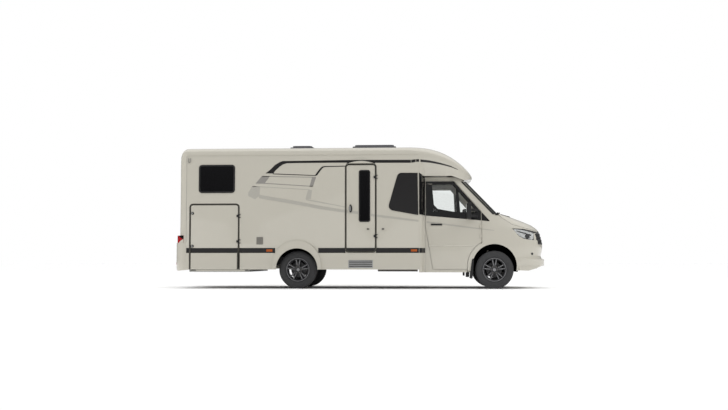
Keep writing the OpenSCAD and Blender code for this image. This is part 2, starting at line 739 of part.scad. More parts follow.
// The bonnet's edge from the windscreen to the nose
bonnet_edge = [[86, 1432], [150, 1376], [345, 1254], [540, 1196], [780, 1142], [920, 1110], [1100, 1096]];
lamp_outline = [
    [345, 1172], [560, 1166], [820, 1116], [1100, 1074], [1100, 950], [900, 948], [690, 952],
    [560, 976], [480, 1020]
];
bumper_line = [[430, 300], [440, 640], [490, 1012]];
module bumper_zone() {
    polygon(concat(bumper_line, [[1200, 1100], [1200, 200], [430, 200]]));
}
module fender_outline() {
    difference() {
        union() {
            polygon(concat(
                [[cab_door_x + door_gap, arch_z], [cab_door_x + door_gap, 1321],
                    [-84.2, 1307.7], [29.7, 1424.4]],
                [for (p = bonnet_edge) [p.x, p.y - 3]], [[1100, arch_z]]
            ));
            intersection() {
                translate([0, arch_z]) circle(door_arch_r - door_gap);
                translate([-700, sill_z]) square([700, 560]);
            }
            translate([0, sill_z]) square([600, 300]);
        }
        bumper_zone();
        translate([0, arch_z]) circle(front_arch_r);
        translate([-front_arch_r + 20, 0]) square([2 * front_arch_r - 40, arch_z]);
        offset(delta = 0.3) polygon(lamp_outline);
    }
}
module front_fenders() color(paint) both_sides() skin() difference() {
    intersection() {
        nose_skin(0, skin_t);
        side_plate(-1200, -560) translate([xf, 0]) fender_outline();
    }
    cab_hinge_pockets($fn = 24);
}
grille_w = 470;
grille_z0 = 866;
grille_z1 = 1092;
intake_w = 430;
intake_z0 = 628;
intake_z1 = 742;
module front_bumper() color(paint) skin() difference() {
    intersection() {
        nose_skin(0, skin_t + 6);
        side_plate(-1200, 1200) translate([xf, 0]) difference() {
            offset(delta = -0.2) bumper_zone();
            translate([0, arch_z]) circle(front_arch_r);
            below_bonnet_cut();
        }
    }
    both_sides() side_plate(-1200, -grille_w) translate([xf, 0]) offset(delta = 0.3) polygon(lamp_outline);
    block(xf + 700, xf + 1200, -grille_w - 0.3, grille_w + 0.3, grille_z0 - 0.3, 1300);
    block(xf + 700, xf + 1200, -intake_w, intake_w, intake_z0, intake_z1);
}
module below_bonnet_cut() {
    polygon(concat([for (p = bonnet_edge) [p.x, p.y - 6]], [[1100, 2000], [86, 2000]]));
}
module headlamps() color([0.8, 0.85, 0.9]) both_sides() skin() intersection() {
    nose_skin(2, 60);
    side_plate(-1200, -grille_w - 0.6) translate([xf, 0]) difference() {
        polygon(lamp_outline);
        below_bonnet_cut();
    }
}
module grille() color(black) skin() intersection() {
    nose_skin(4, 50);
    union() {
        for (z = [intake_z0 + 24, intake_z0 + 68])
            block(xf + 700, xf + 1100, -intake_w + 0.3, intake_w - 0.3, z, z + 22);
        for (z = [grille_z0, grille_z0 + 62, grille_z0 + 124, grille_z1 - 36])
            block(xf + 750, xf + 1100, -grille_w + 0.2, grille_w - 0.2, z, z + 30);
        for (y = [-grille_w + 0.2, -15, grille_w - 30.2])
            block(xf + 750, xf + 1100, y, y + 30, grille_z0, grille_z1 - 8);
    }
}
module bonnet() color(paint) {
    skin() intersection() {
        nose_skin(0, skin_t);
        side_plate(-1200, 1200) translate([xf, 0]) polygon(concat(
            [for (p = bonnet_edge) [p.x + (p.x < 100 ? 6 : 0), p.y + 3]], [[1100, 1600], [92, 1600]]
        ));
    }
    for (y = [-bonnet_hinge_y, bonnet_hinge_y]) difference() {
        union() {
            tube_y(bonnet_hinge_x, y - 20, y + 20, bonnet_hinge_z, barrel_r);
            block(bonnet_hinge_x, bonnet_hinge_x + 44, y - 20, y + 20, 1456, bonnet_hinge_z + 4);
        }
        tube_y(bonnet_hinge_x, y - 21, y + 21, bonnet_hinge_z, hinge_pin_r + run_gap);
    }
}

// Chassis
front_y = front_track / 2;
rear_y = rear_track / 2;
arm_z = tyre_r - 138;
tower_z = tyre_r + 450;
kingpin_low = [xf, -front_y + 95, arm_z + 18];
strut_l = 610;
module on_kingpin() { translate(kingpin_low) rotate([-kingpin_lean, 0, 0]) children(); }
module rail_cross(x, h) { block(x - 35, x + 35, -rail_in_y - 5, rail_in_y + 5, rail_top_z - h, rail_top_z); }
pad_h = 15;
module jack_pads() {
    for (x = [xr + 650, xf - 700], y = [-rail_pitch / 2, rail_pitch / 2])
        block(x - 60, x + 60, y - rail_w / 2, y + rail_w / 2, rail_z - pad_h, rail_z + 1);
}
module tow_holes() {
    for (x = [rail_rear_x + 30, rail_rear_x + 150], z = [rail_z + 35, rail_z + 115])
        tube_y(x, -rail_out_y - 50, rail_out_y + 50, z, 6.5);
}
spring_y = 560;
module chassis_frame() color(steel) {
    difference() {
        union() {
            for (y = [-rail_pitch / 2, rail_pitch / 2])
                block(rail_rear_x, rail_front_x, y - rail_w / 2, y + rail_w / 2, rail_z, rail_top_z);
            for (x = [rail_rear_x + 300, xr + 300, xr + 1250, xr + 2200, xf - 500]) rail_cross(x, 110);
            block(rail_front_x, rail_front_x + 60, -620, 620, rail_z, rail_top_z);
            jack_pads();
        }
        tow_holes();
    }
    both_sides() {
        block(xf - 55, xf + 55, -rail_out_y, 0, arm_z - 2, arm_z + 68);
        for (x = [xf - 55, xf + 15]) block(x, x + 40, -rail_out_y, -rail_in_y, arm_z + 58, rail_z + 2);
        difference() {
            union() {
                block(xf - 60, xf + 60, -rail_out_y - 110, -rail_out_y + 20, arm_z, arm_z + 36);
                block(xf - 25, xf + 25, kingpin_low.y, -rail_out_y - 60, arm_z, arm_z + 36);
                translate([xf, kingpin_low.y, arm_z]) cylinder(r = 25, h = 36);
            }
            on_kingpin() translate([0, 0, -60]) cylinder(r = 16 + run_gap, h = 140);
        }
        difference() {
            union() {
                block(xf - 90, xf + 90, -rail_out_y - 90, -rail_out_y + 5, rail_z + 60, tower_z);
                block(xf - 70, xf + 70, -rail_out_y - 205, -rail_out_y - 40, tower_z - 30, tower_z);
                on_kingpin() translate([0, 0, strut_l - 60]) cylinder(r = 66, h = 40);
            }
            on_kingpin() translate([0, 0, strut_l - 160]) cylinder(r = 30 + run_gap, h = 300);
        }
        for (x = [xr - 640, xr + 640])
            block(x - 40, x + 40, -spring_y - 35, -rail_out_y + 2, rail_z + 20, rail_z + 60);
    }
}
module rear_axle() color(steel) {
    tube_y(xr, -rear_y + 74, rear_y - 74, tyre_r, 45);
    both_sides() {
        tube_y(xr, -rear_y - 20, -rear_y + 80, tyre_r, spindle_r);
        side_plate(-spring_y - 35, -spring_y + 35) polygon([
            [xr - 680, rail_z + 4], [xr - 600, rail_z + 4], [xr - 300, tyre_r + 52], [xr, tyre_r + 36],
            [xr + 300, tyre_r + 52], [xr + 600, rail_z + 4], [xr + 680, rail_z + 4],
            [xr + 680, rail_z + 19.8],
            [xr + 590, rail_z + 19.8], [xr + 300, tyre_r + 75], [xr, tyre_r + 62], [xr - 300, tyre_r + 75],
            [xr - 590, rail_z + 19.8], [xr - 680, rail_z + 19.8]
        ]);
    }
}
module engine_block() color([0.35, 0.36, 0.37]) {
    block(xf + 75, xf + 560, -300, 300, 420, 1020);
    block(xf + 120, xf + 500, -150, 150, 1010, 1120);
    for (x = [xf + 150, xf + 420])
        block(x, x + 80, -rail_in_y - 30, rail_in_y + 30, rail_top_z + 0.2, rail_top_z + 60);
}
module exhaust() color([0.45, 0.44, 0.43]) {
    block(xf - 2300, xf - 1500, -330, -80, 330, 500);
    translate([xf - 1510, -205, 420]) rotate([0, 90, 0]) cylinder(r = 30, h = 1440);
    for (x = [xf - 2200, xf - 1650]) block(x, x + 60, -rail_in_y + 0.2, -300, 440, 498);
    translate([xf - 2290, -205, 420]) rotate([0, -90, 0]) cylinder(r = 28, h = 200);
}
module tanks() color([0.16, 0.16, 0.17]) {
    block(xf - 1450, xf - 750, rail_out_y + 0.2, rail_out_y + 370, 340, 600);
    block(xf - 2600, xf - 1700, rail_out_y + 0.2, rail_out_y + 480, 400, 610);
    block(xr + 700, xr + 1300, -rail_out_y - 420, -rail_out_y - 0.2, 410, 610);
}
house_r = rear_arch_r + 12;
module living_floor() color([0.5, 0.45, 0.4]) difference() {
    union() {
        block(tub_front_x, wall_front_x, -wall_y + 0.2, wall_y - 0.2, rail_top_z + 0.2, floor_top_z);
        block(wall_front_x - 1, cab_floor_x, -900, 900, rail_top_z + 0.2, floor_top_z);
        both_sides()
            block(tub_front_x, wall_front_x, -wall_y + 0.2, -wall_y + 40, floor_top_z - 1, wall_z + 40);
    }
    both_sides()
        block(xr - house_r - 10, xr + house_r + 10, -wall_y - 10, -690, rail_top_z - 10, wall_z + 50);
    block(entry_x0 - 10, entry_x1 + 10, -wall_y - 10, -wall_y + 60, floor_top_z, wall_z + 50);
}
module garage_floor() color([0.6, 0.6, 0.58]) {
    side_plate(-wall_y + 12, wall_y - 12) polygon([
        [tub_rear_x, garage_z], [tub_front_x - 0.2, garage_z], [tub_front_x - 0.2, floor_top_z],
        [tub_front_x - 35, floor_top_z], [tub_front_x - 35, garage_z + 30], [tub_rear_x + 30, garage_z + 30],
        [tub_rear_x + 30, floor_top_z], [rear_seam_x - 20, floor_top_z],
        [rear_seam_x - 20, floor_top_z - 30], [tub_rear_x, floor_top_z - 30]
    ]);
}
module wheel_housings() color(black) both_sides() {
    difference() {
        side_plate(-wall_y + 0.2, -700) translate([xr, rear_arch_z]) difference() {
            intersection() {
                circle(house_r + 8);
                translate([-500, rail_top_z - rear_arch_z + 0.4]) square([1000, 500]);
            }
            circle(house_r);
        }
    }
    side_plate(-708, -700) translate([xr, rear_arch_z]) intersection() {
        circle(house_r + 8);
        translate([-500, rail_top_z - rear_arch_z + 0.4]) square([1000, 500]);
    }
    difference() {
        union() {
            side_plate(-912, -540) translate([xf, arch_z]) intersection() {
                difference() {
                    circle(front_arch_r + 30);
                    circle(front_arch_r + 22);
                }
                translate([-600, -110]) square([1200, 700]);
            }
            side_plate(-548, -540) translate([xf, arch_z]) intersection() {
                circle(front_arch_r + 30);
                translate([-600, -110]) square([1200, 700]);
            }
            block(xf - front_arch_r - 24, xf - front_arch_r - 14, -950, -720, 196, 400);
        }
        block(xf - 130, xf + 130, -775, -530, 300, 1000);
    }
}
module knuckle() {
    translate([0, -front_y, tyre_r]) {
        tube_y(xf, -20, 120, 0, spindle_r);
        block(xf - 40, xf + 40, 78, 128, -60, 60);
    }
    block(xf - 30, xf + 30, kingpin_low.y - 14, -front_y + 128, tyre_r - 86, tyre_r - 30);
    on_kingpin() translate([0, 0, -26]) cylinder(r = 16, h = 120);
    on_kingpin() translate([0, 0, 190]) cylinder(r = 30, h = strut_l - 190);
    intersection() {
        on_kingpin() translate([0, 0, 150]) cylinder(r = 36, h = 80);
        block(xf - 60, xf + 60, -front_y + 70, -500, tyre_r + 10, tyre_r + 150);
    }
}
module knuckle_right() color(steel) knuckle();
module knuckle_left() color(steel) mirror([0, 1, 0]) knuckle();

// Wheels, drawn with the axle along Z and the outer face up
module rim() {
    difference() {
        union() {
            rotate_extrude($fn = 64) polygon([
                [rim_r, rim_w / 2], [rim_r, rim_w / 2 - 7], [rim_r - 17, rim_w / 2 - 13], [rim_r - 20, 36],
                [rim_r - 30, 16], [rim_r - 30, -30], [rim_r - 18, -rim_w / 2 + 24],
                [rim_r - 17, -rim_w / 2 + 13], [rim_r, -rim_w / 2 + 7], [rim_r, -rim_w / 2],
                [rim_r - 14, -rim_w / 2], [rim_r - 28, -rim_w / 2 + 16], [rim_r - 40, -30], [rim_r - 40, 16],
                [rim_r - 32, 40], [rim_r - 28, rim_w / 2 - 16], [rim_r - 12, rim_w / 2]
            ]);
            intersection() {
                rotate_extrude() polygon([
                    [40, 16], [110, 34], [rim_r - 24, 46], [rim_r - 24, 72], [110, 66], [70, 52], [40, 52]
                ]);
                linear_extrude(100) for (i = [0:spoke_pairs - 1], d = [-11, 11])
                    rotate(i * 360 / spoke_pairs + d + 90)
                        polygon([[40, -20], [rim_r - 24, -13], [rim_r - 24, 13], [40, 20]]);
            }
            translate([0, 0, -42]) cylinder(r = 74, h = 94);
            translate([0, 0, -68]) cylinder(r = 150, h = 26);
        }
        translate([0, 0, -80]) cylinder(r = spindle_r + 0.05, h = 105);
    }
}
module tyre() {
    h = tyre_w / 2;
    b = rim_w / 2 - 13.4;
    difference() {
        rotate_extrude($fn = 72) polygon([
            [rim_r - 16.6, -b], [rim_r + 1, -b], [rim_r + 16, -b - 9], [rim_r + 50, -h + 2], [rim_r + 72, -h],
            [tyre_r - 40, -h + 3], [tyre_r - 18, -h + 11], [tyre_r - 6, -h + 22], [tyre_r - 1, -h + 36],
            [tyre_r, -h + 60], [tyre_r, h - 60],
            [tyre_r - 1, h - 36], [tyre_r - 6, h - 22], [tyre_r - 18, h - 11], [tyre_r - 40, h - 3],
            [rim_r + 72, h], [rim_r + 50, h - 2], [rim_r + 16, b + 9], [rim_r + 1, b], [rim_r - 16.6, b]
        ]);
        for (z = [-52, -18, 18, 52]) translate([0, 0, z]) rotate_extrude($fn = 72)
            translate([tyre_r - 8, -4.5]) square([12, 9]);
    }
}
module at_wheel(x, y) { translate([x, y, tyre_r]) rotate([y < 0 ? 90 : -90, 0, 0]) children(); }
module rim_front_right() color(black) at_wheel(xf, -front_y) rim();
module rim_front_left() color(black) at_wheel(xf, front_y) rim();
module rim_rear_right() color(black) at_wheel(xr, -rear_y) rim();
module rim_rear_left() color(black) at_wheel(xr, rear_y) rim();
module tyre_front_right() color(black) at_wheel(xf, -front_y) tyre();
module tyre_front_left() color(black) at_wheel(xf, front_y) tyre();
module tyre_rear_right() color(black) at_wheel(xr, -rear_y) tyre();
module tyre_rear_left() color(black) at_wheel(xr, rear_y) tyre();

// Cab fittings
module cab_seats() color([0.25, 0.24, 0.24]) for (y = [-470, 470]) {
    block(xf - 1210, xf - 830, y - 190, y + 190, rail_top_z + 40.2, 860);
    side_plate(y - 240, y + 240) polygon(rounded([
        [-790 + xf, 860, 40], [-790 + xf, 985, 60], [-1180 + xf, 985, 60], [-1262 + xf, 1600, 50],
        [-1372 + xf, 1600, 50], [-1300 + xf, 860, 60]
    ]));
    side_plate(y - 120, y + 120) polygon(rounded([
        [-1272 + xf, 1590, 5], [-1272 + xf, 1770, 40], [-1366 + xf, 1770, 40], [-1360 + xf, 1590, 5]
    ]));
}
module dashboard() color(black) {
    side_plate(-790, 790) polygon(rounded([
        [firewall_x - 30.2, 1000, 0], [firewall_x - 30.2, 1379.6, 0], [firewall_x - 200, 1379.6, 60],
        [firewall_x - 320, 1240, 60], [firewall_x - 250, 1000, 60]
    ]));
    translate([xf - 520, 470, 1300]) rotate([0, -62, 0]) {
        rotate_extrude() translate([185, 0]) circle(15);
        cylinder(r = 60, h = 24, center = true);
        for (a = [0, 120, 240]) rotate(a) translate([40, -16, -9]) cube([136, 32, 18]);
        translate([0, 0, -260]) cylinder(r = 28, h = 262);
    }
}

chassis_frame();
rear_axle();
engine_block();
exhaust();
tanks();
living_floor();
garage_floor();
wheel_housings();
right_wall();
left_wall();
rear_wall();
roof_panel();
roof_cap();
side_skirts();
wheel_flares();
rear_bumper();
side_windows();
tail_lamps();
marker_lamps();
entry_step();
door_pillars();
cab_frame();
windscreen();
front_fenders();
front_bumper();
grille();
headlamps();
cab_seats();
dashboard();
entry_door();
entry_door_window();
garage_door_right();
garage_door_left();
cab_door_right();
cab_door_left();
cab_glass_right();
cab_glass_left();
mirror_right();
mirror_left();
bonnet();
roof_hatch_front();
roof_hatch_rear();
knuckle_right();
knuckle_left();
rim_front_right();
rim_front_left();
rim_rear_right();
rim_rear_left();
tyre_front_right();
tyre_front_left();
tyre_rear_right();
tyre_rear_left();
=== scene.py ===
"""Looks of a semi-integrated motorhome around its CAD frame, laid out as a Blender add-on."""

import json
import math

import bmesh
import bpy
from bpy.props import FloatProperty, FloatVectorProperty, IntProperty, PointerProperty
from mathutils import Matrix, Vector
from mathutils.bvhtree import BVHTree


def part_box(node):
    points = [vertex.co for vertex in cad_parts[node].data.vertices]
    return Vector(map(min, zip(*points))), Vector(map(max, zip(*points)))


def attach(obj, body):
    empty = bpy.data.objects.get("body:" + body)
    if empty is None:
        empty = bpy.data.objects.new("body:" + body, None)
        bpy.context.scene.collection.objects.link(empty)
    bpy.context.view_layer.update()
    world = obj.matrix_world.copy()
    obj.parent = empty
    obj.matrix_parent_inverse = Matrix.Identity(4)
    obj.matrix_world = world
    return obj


bl_info = {
    "name": "Motorhome looks",
    "version": (1, 0, 0),
    "blender": (4, 5, 0),
    "location": "View3D > Sidebar > Motorhome",
    "description": "Finishes, trim and stage for a semi-integrated motorhome",
    "category": "Object",
}

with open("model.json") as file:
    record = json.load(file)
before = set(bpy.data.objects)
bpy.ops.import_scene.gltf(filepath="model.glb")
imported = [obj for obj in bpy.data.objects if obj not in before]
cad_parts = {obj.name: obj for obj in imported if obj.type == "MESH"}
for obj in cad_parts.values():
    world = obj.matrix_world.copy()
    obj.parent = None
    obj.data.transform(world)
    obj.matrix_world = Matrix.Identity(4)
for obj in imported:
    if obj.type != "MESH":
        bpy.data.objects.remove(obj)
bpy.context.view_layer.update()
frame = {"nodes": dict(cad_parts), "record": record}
NODES = frame["nodes"]
RIGHT, LEFT = -1, 1
BOTH = (RIGHT, LEFT)
SIDE_NAME = {RIGHT: "right", LEFT: "left"}

# Places that come from the frame, in metres
GARAGE_LOW, GARAGE_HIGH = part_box("garage_door_right")
FRONT_LOW, FRONT_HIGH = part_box("tyre_front_right")
REAR_LOW, REAR_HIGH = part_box("tyre_rear_right")
HALF_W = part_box("side_skirts")[1].y
REAR_FACE_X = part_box("rear_wall")[0].x
FRONT_AXLE_X = (FRONT_LOW.x + FRONT_HIGH.x) / 2
REAR_AXLE_X = (REAR_LOW.x + REAR_HIGH.x) / 2
TYRE_R = FRONT_HIGH.z / 2

# How deep the back of a fitting lies in its panel, and that of a film
SINK = 0.004
FILM_BACK = 0.003


def linear(hex_colour):
    """An sRGB hex colour as linear red, green and blue."""
    values = [int(hex_colour[i:i + 2], 16) / 255 for i in (1, 3, 5)]
    return tuple(v / 12.92 if v <= 0.04045 else ((v + 0.055) / 1.055) ** 2.4 for v in values)


def mm(*points):
    """Points given in millimetres, in metres."""
    return [tuple(value / 1000 for value in point) for point in points]


class MotorhomeFinish(bpy.types.PropertyGroup):
    """Colours of the vehicle."""

    paint: FloatVectorProperty(
        name="Body paint", description="Warm light grey of the body", subtype="COLOR",
        default=linear("#BDB9AD"))
    stripe: FloatVectorProperty(
        name="Stripe", description="Dark stripes and belt strip", subtype="COLOR",
        default=linear("#100E0F"))
    mid_grey: FloatVectorProperty(
        name="Middle grey", description="Middle of the three graphics", subtype="COLOR",
        default=linear("#8B8883"))
    light_grey: FloatVectorProperty(
        name="Light grey", description="Long sweep along the side", subtype="COLOR",
        default=linear("#A9A69D"))
    seal: FloatVectorProperty(
        name="Seal", description="Rubber around doors and windows", subtype="COLOR",
        default=linear("#3A3831"))


class MotorhomeSizes(bpy.types.PropertyGroup):
    """Sizes of the trim."""

    seal_w: FloatProperty(
        name="Seal width", description="Width of the rubber around a door", unit="LENGTH", default=0.026)
    film_t: FloatProperty(
        name="Film thickness", description="How far a stripe stands off the panel", unit="LENGTH",
        default=0.0012)
    wheel_bolts: IntProperty(
        name="Wheel bolts", description="Bolts of each wheel", default=6, min=4, max=8)
    lamp_level: FloatProperty(
        name="Lamp level", description="Strength of the soft lamps", default=1.0, min=0.1)


def settings():
    """The finish settings of the scene."""
    return bpy.context.scene.motorhome_finish


def sizes():
    """The trim sizes of the scene."""
    return bpy.context.scene.motorhome_sizes


# Finishes

COAT_ROUGHNESS = 0.04
SHEEN_SPREAD = 0.06


def add_node(tree, kind, values=None, links=None):
    """Adds a node, sets its sockets and properties by name, and links its inputs."""
    node = tree.nodes.new(kind)
    for key, value in (values or {}).items():
        if isinstance(key, str) and hasattr(node, key) and key not in node.inputs:
            setattr(node, key, value)
        else:
            node.inputs[key].default_value = value
    for key, source in (links or {}).items():
        tree.links.new(source, node.inputs[key])
    return node


def finish_material(name, colour, roughness, metallic=0.0, ior=1.5, coat=0.0, transmission=0.0,
                    grain_mm=0.0, relief=0.1):
    """A shader, and where it has a grain, that grain's relief and the change of sheen that goes with it.

    The grains are drawn coarser than real, so that they show from some metres away.
    """
    made = bpy.data.materials.get(name)
    if made:
        return made
    made = bpy.data.materials.new(name)
    made.use_nodes = True
    tree = made.node_tree
    tree.nodes.clear()
    shader = add_node(tree, "ShaderNodeBsdfPrincipled", {
        "Base Color": (*colour, 1.0), "Roughness": roughness, "Metallic": metallic, "IOR": ior,
        "Coat Weight": coat, "Coat Roughness": COAT_ROUGHNESS, "Transmission Weight": transmission})
    if grain_mm:
        place = add_node(tree, "ShaderNodeTexCoord")
        grain = add_node(tree, "ShaderNodeTexNoise", {"Scale": 1000.0 / grain_mm, "Detail": 2.0},
                         {"Vector": place.outputs["Object"]})
        bump = add_node(tree, "ShaderNodeBump", {"Strength": relief, "Distance": grain_mm / 4000.0},
                        {"Height": grain.outputs["Fac"]})
        tree.links.new(bump.outputs["Normal"], shader.inputs["Normal"])
        sheen = add_node(tree, "ShaderNodeMapRange", {
            "To Min": max(roughness - SHEEN_SPREAD, 0.0), "To Max": roughness + SHEEN_SPREAD},
            {"Value": grain.outputs["Fac"]})
        tree.links.new(sheen.outputs["Result"], shader.inputs["Roughness"])
    add_node(tree, "ShaderNodeOutputMaterial", None, {"Surface": shader.outputs["BSDF"]})
    return made


def body_paint():
    """Two-layer solid colour paint, sprayed and baked: an even pale warm grey under a clear, glossy coat."""
    return finish_material("paint_two_layer_sprayed", settings().paint, 0.38, coat=0.6,
                           grain_mm=30.0, relief=0.02)


def stripe_film():
    """Cast vinyl film, printed dark: flat colour with a soft gloss."""
    return finish_material("vinyl_film_dark", settings().stripe, 0.35, grain_mm=20.0, relief=0.03)


def mid_grey_film():
    """Cast vinyl film, printed middle grey: flat colour with a soft gloss."""
    return finish_material("vinyl_film_mid_grey", settings().mid_grey, 0.4, grain_mm=20.0, relief=0.03)


def light_grey_film():
    """Cast vinyl film, printed light grey: little darker than the paint, and less glossy."""
    return finish_material("vinyl_film_light_grey", settings().light_grey, 0.4, grain_mm=20.0, relief=0.03)


def rubber_seal():
    """EPDM rubber, extruded: matt, with a faint skin."""
    return finish_material("epdm_rubber_extruded", settings().seal, 0.7, grain_mm=3.0)


def black_plastic():
    """ABS, moulded with a fine grain: deep grey that breaks highlights up."""
    return finish_material("abs_moulded_grained", linear("#131314"), 0.5, grain_mm=2.0, relief=0.2)


def grey_plastic():
    """ABS, moulded grey: a middle grey with soft highlights."""
    return finish_material("abs_moulded_grey", linear("#7C7972"), 0.5, grain_mm=2.0)


def arch_shade_felt():
    """Polyester felt, needled and pressed: fully matt and nearly black, the liner's own black deepened into
    painted shade so that the wheel arches stay black.
    """
    return finish_material("polyester_felt_arch_shade", linear("#060606"), 1.0, ior=1.0)


def gloss_black():
    """PMMA, moulded black: mirror-like and nearly black."""
    return finish_material("pmma_black_moulded", linear("#0A0A0B"), 0.12)


def dark_acrylic():
    """PMMA double pane, smoked and hot formed: dark with sharp reflections."""
    return finish_material("pmma_smoked_pane", linear("#08080A"), 0.05)


def grey_acrylic():
    """PMMA lid, hot formed in smoke grey: a middle grey with a soft gloss against the sky."""
    return finish_material("pmma_grey_lid", linear("#66666A"), 0.3, grain_mm=15.0, relief=0.05)


def cab_glazing():
    """Float glass, laminated: clear with a faint cool tint."""
    return finish_material("float_glass_laminated", linear("#F3F5F4"), 0.0, ior=1.45, transmission=1.0)


def clear_lens():
    """Polycarbonate lens, injection moulded: clear and glossy."""
    return finish_material("polycarbonate_clear_lens", linear("#F4F6F7"), 0.02, ior=1.58, transmission=1.0)


def red_lens():
    """PMMA lens, dyed red in the mass: deep red with wet highlights."""
    return finish_material("pmma_red_lens", linear("#9E1218"), 0.12, grain_mm=8.0, relief=0.15)


def amber_lens():
    """PMMA lens, dyed amber in the mass: warm orange with small, broken highlights."""
    return finish_material("pmma_amber_lens", linear("#A4501E"), 0.2, grain_mm=8.0, relief=0.15)


def chrome_reflector():
    """Aluminium vapour behind a pane: a bright mirror."""
    return finish_material("aluminium_vapour_mirror", linear("#D8DADC"), 0.12, metallic=1.0)


def extruded_alloy():
    """Aluminium, extruded and anodised: satin silver."""
    return finish_material("aluminium_anodised_extruded", linear("#B4B5B4"), 0.35, metallic=1.0, grain_mm=5.0)


def wheel_alloy():
    """Cast aluminium, enamelled satin black: dark, with soft lights along the spokes."""
    return finish_material("cast_alloy_black_enamel", linear("#2C2C2E"), 0.4, coat=0.2, grain_mm=5.0)


def bright_enamel():
    """Cast aluminium, turned and lacquered: the lighter edge of the wheels."""
    return finish_material("cast_alloy_turned", linear("#8E8E90"), 0.4, metallic=0.3, grain_mm=3.0)


def tyre_rubber():
    """Tyre rubber, moulded: dull charcoal with a slight bloom."""
    return finish_material("tyre_rubber_moulded", linear("#363637"), 0.75, grain_mm=6.0, relief=0.15)


def chassis_enamel():
    """Steel with dipped black enamel: dull and dark."""
    return finish_material("steel_dipped_enamel", linear("#202022"), 0.6, grain_mm=15.0)


def shaded_cast_iron():
    """Cast iron, sand cast and oiled: its own dark grey deepened to nearly black as painted shade, with a
    coarse grain.
    """
    return finish_material("iron_sand_cast_shaded", linear("#1D1D1E"), 0.8, grain_mm=8.0)


def dull_steel():
    """Aluminised steel sheet, rolled: dull silver brown."""
    return finish_material("steel_aluminised_rolled", linear("#6F6B66"), 0.5, metallic=0.9, grain_mm=10.0)


def laminate():
    """Glass fibre laminate, pressed: pale grey and matt."""
    return finish_material("gfk_laminate_pressed", linear("#8E8D88"), 0.6, grain_mm=12.0)


def seat_cloth():
    """Polyester seat cloth, woven: matt near black."""
    return finish_material("polyester_seat_cloth", linear("#2A2A2B"), 0.9, grain_mm=6.0, relief=0.4)


def lamp_bezel():
    """PBT bezel, moulded white: a bright, even field behind the lamp's lens."""
    return finish_material("pbt_white_bezel", linear("#F4F4F2"), 0.35)


def milky_tank():
    """Polypropylene, blow moulded: a milky white that looks lit from within."""
    return finish_material("polypropylene_blow_moulded", linear("#E2E1DA"), 0.45, grain_mm=10.0)


def floor_paint():
    """White paint, rolled: matt, so that only the soft shadow shows on it."""
    return finish_material("floor_paint_rolled", (0.98, 0.98, 0.98), 1.0, ior=1.0)


# Makers of shapes

def merged(makers):
    """One mesh from makers that each add to a bmesh."""
    mesh = bpy.data.meshes.new("piece")
    total = bmesh.new()
    for make in makers:
        make(total)
    bmesh.ops.recalc_face_normals(total, faces=total.faces)
    total.to_mesh(mesh)
    total.free()
    return mesh


def loft(sections):
    """A maker of a solid through sections with as many points each."""
    def make(bm):
        rows = [[bm.verts.new(point) for point in section] for section in sections]
        count = len(rows[0])
        for a, b in zip(rows, rows[1:]):
            for i in range(count):
                j = (i + 1) % count
                bm.faces.new((a[i], a[j], b[j], b[i]))
        bm.faces.new(rows[0])
        bm.faces.new(rows[-1][::-1])
    return make


def slab(outline, y0, y1):
    """A maker of a plate with an X and Z outline between two Y places."""
    return loft([[(x, y, z) for x, z in outline] for y in (y0, y1)])


def ring(outer, inner, y0, y1):
    """A maker of a frame between two outlines with as many points each."""
    def make(bm):
        rows = [[bm.verts.new((x, y, z)) for x, z in line] for line, y in
                ((outer, y0), (outer, y1), (inner, y1), (inner, y0))]
        count = len(outer)
        for k in range(4):
            a, b = rows[k], rows[(k + 1) % 4]
            for i in range(count):
                j = (i + 1) % count
                bm.faces.new((a[i], a[j], b[j], b[i]))
    return make


def cuboid(corner, other):
    """A maker of a box between two opposite corners."""
    def make(bm):
        a, b = Vector(corner), Vector(other)
        made = bmesh.ops.create_cube(bm, size=1.0)
        bmesh.ops.scale(bm, vec=[abs(v) for v in b - a], verts=made["verts"])
        bmesh.ops.translate(bm, vec=(a + b) / 2, verts=made["verts"])
    return make


def rod(start, end, radius, sides=16):
    """A maker of a round bar between two points."""
    def make(bm):
        a, b = Vector(start), Vector(end)
        turn = (b - a).to_track_quat("Z", "Y").to_matrix().to_4x4()
        bmesh.ops.create_cone(bm, cap_ends=True, segments=sides, radius1=radius, radius2=radius,
                              depth=(b - a).length, matrix=Matrix.Translation((a + b) / 2) @ turn)
    return make


def point_at(a, b, axis, value):
    """A point from two coordinates in order and the one along an axis."""
    place = [a, b]
    place.insert(axis, value)
    return Vector(place)


def surface(nodes, side, axis=1):
    """A function giving the outermost place of some CAD nodes along an axis, at the other two coordinates."""
    trees = []
    for name in nodes:
        source = NODES[name]
        bm = bmesh.new()
        bm.from_mesh(source.data)
        bm.transform(source.matrix_world)
        trees.append(BVHTree.FromBMesh(bm))
        bm.free()
    outside = 5.0

    def find(a, b):
        start, inward = point_at(a, b, axis, side * outside), point_at(0, 0, axis, -side)
        hits = [tree.ray_cast(start, inward)[0] for tree in trees]
        return max((hit[axis] for hit in hits if hit), key=lambda v: side * v, default=None)
    return find


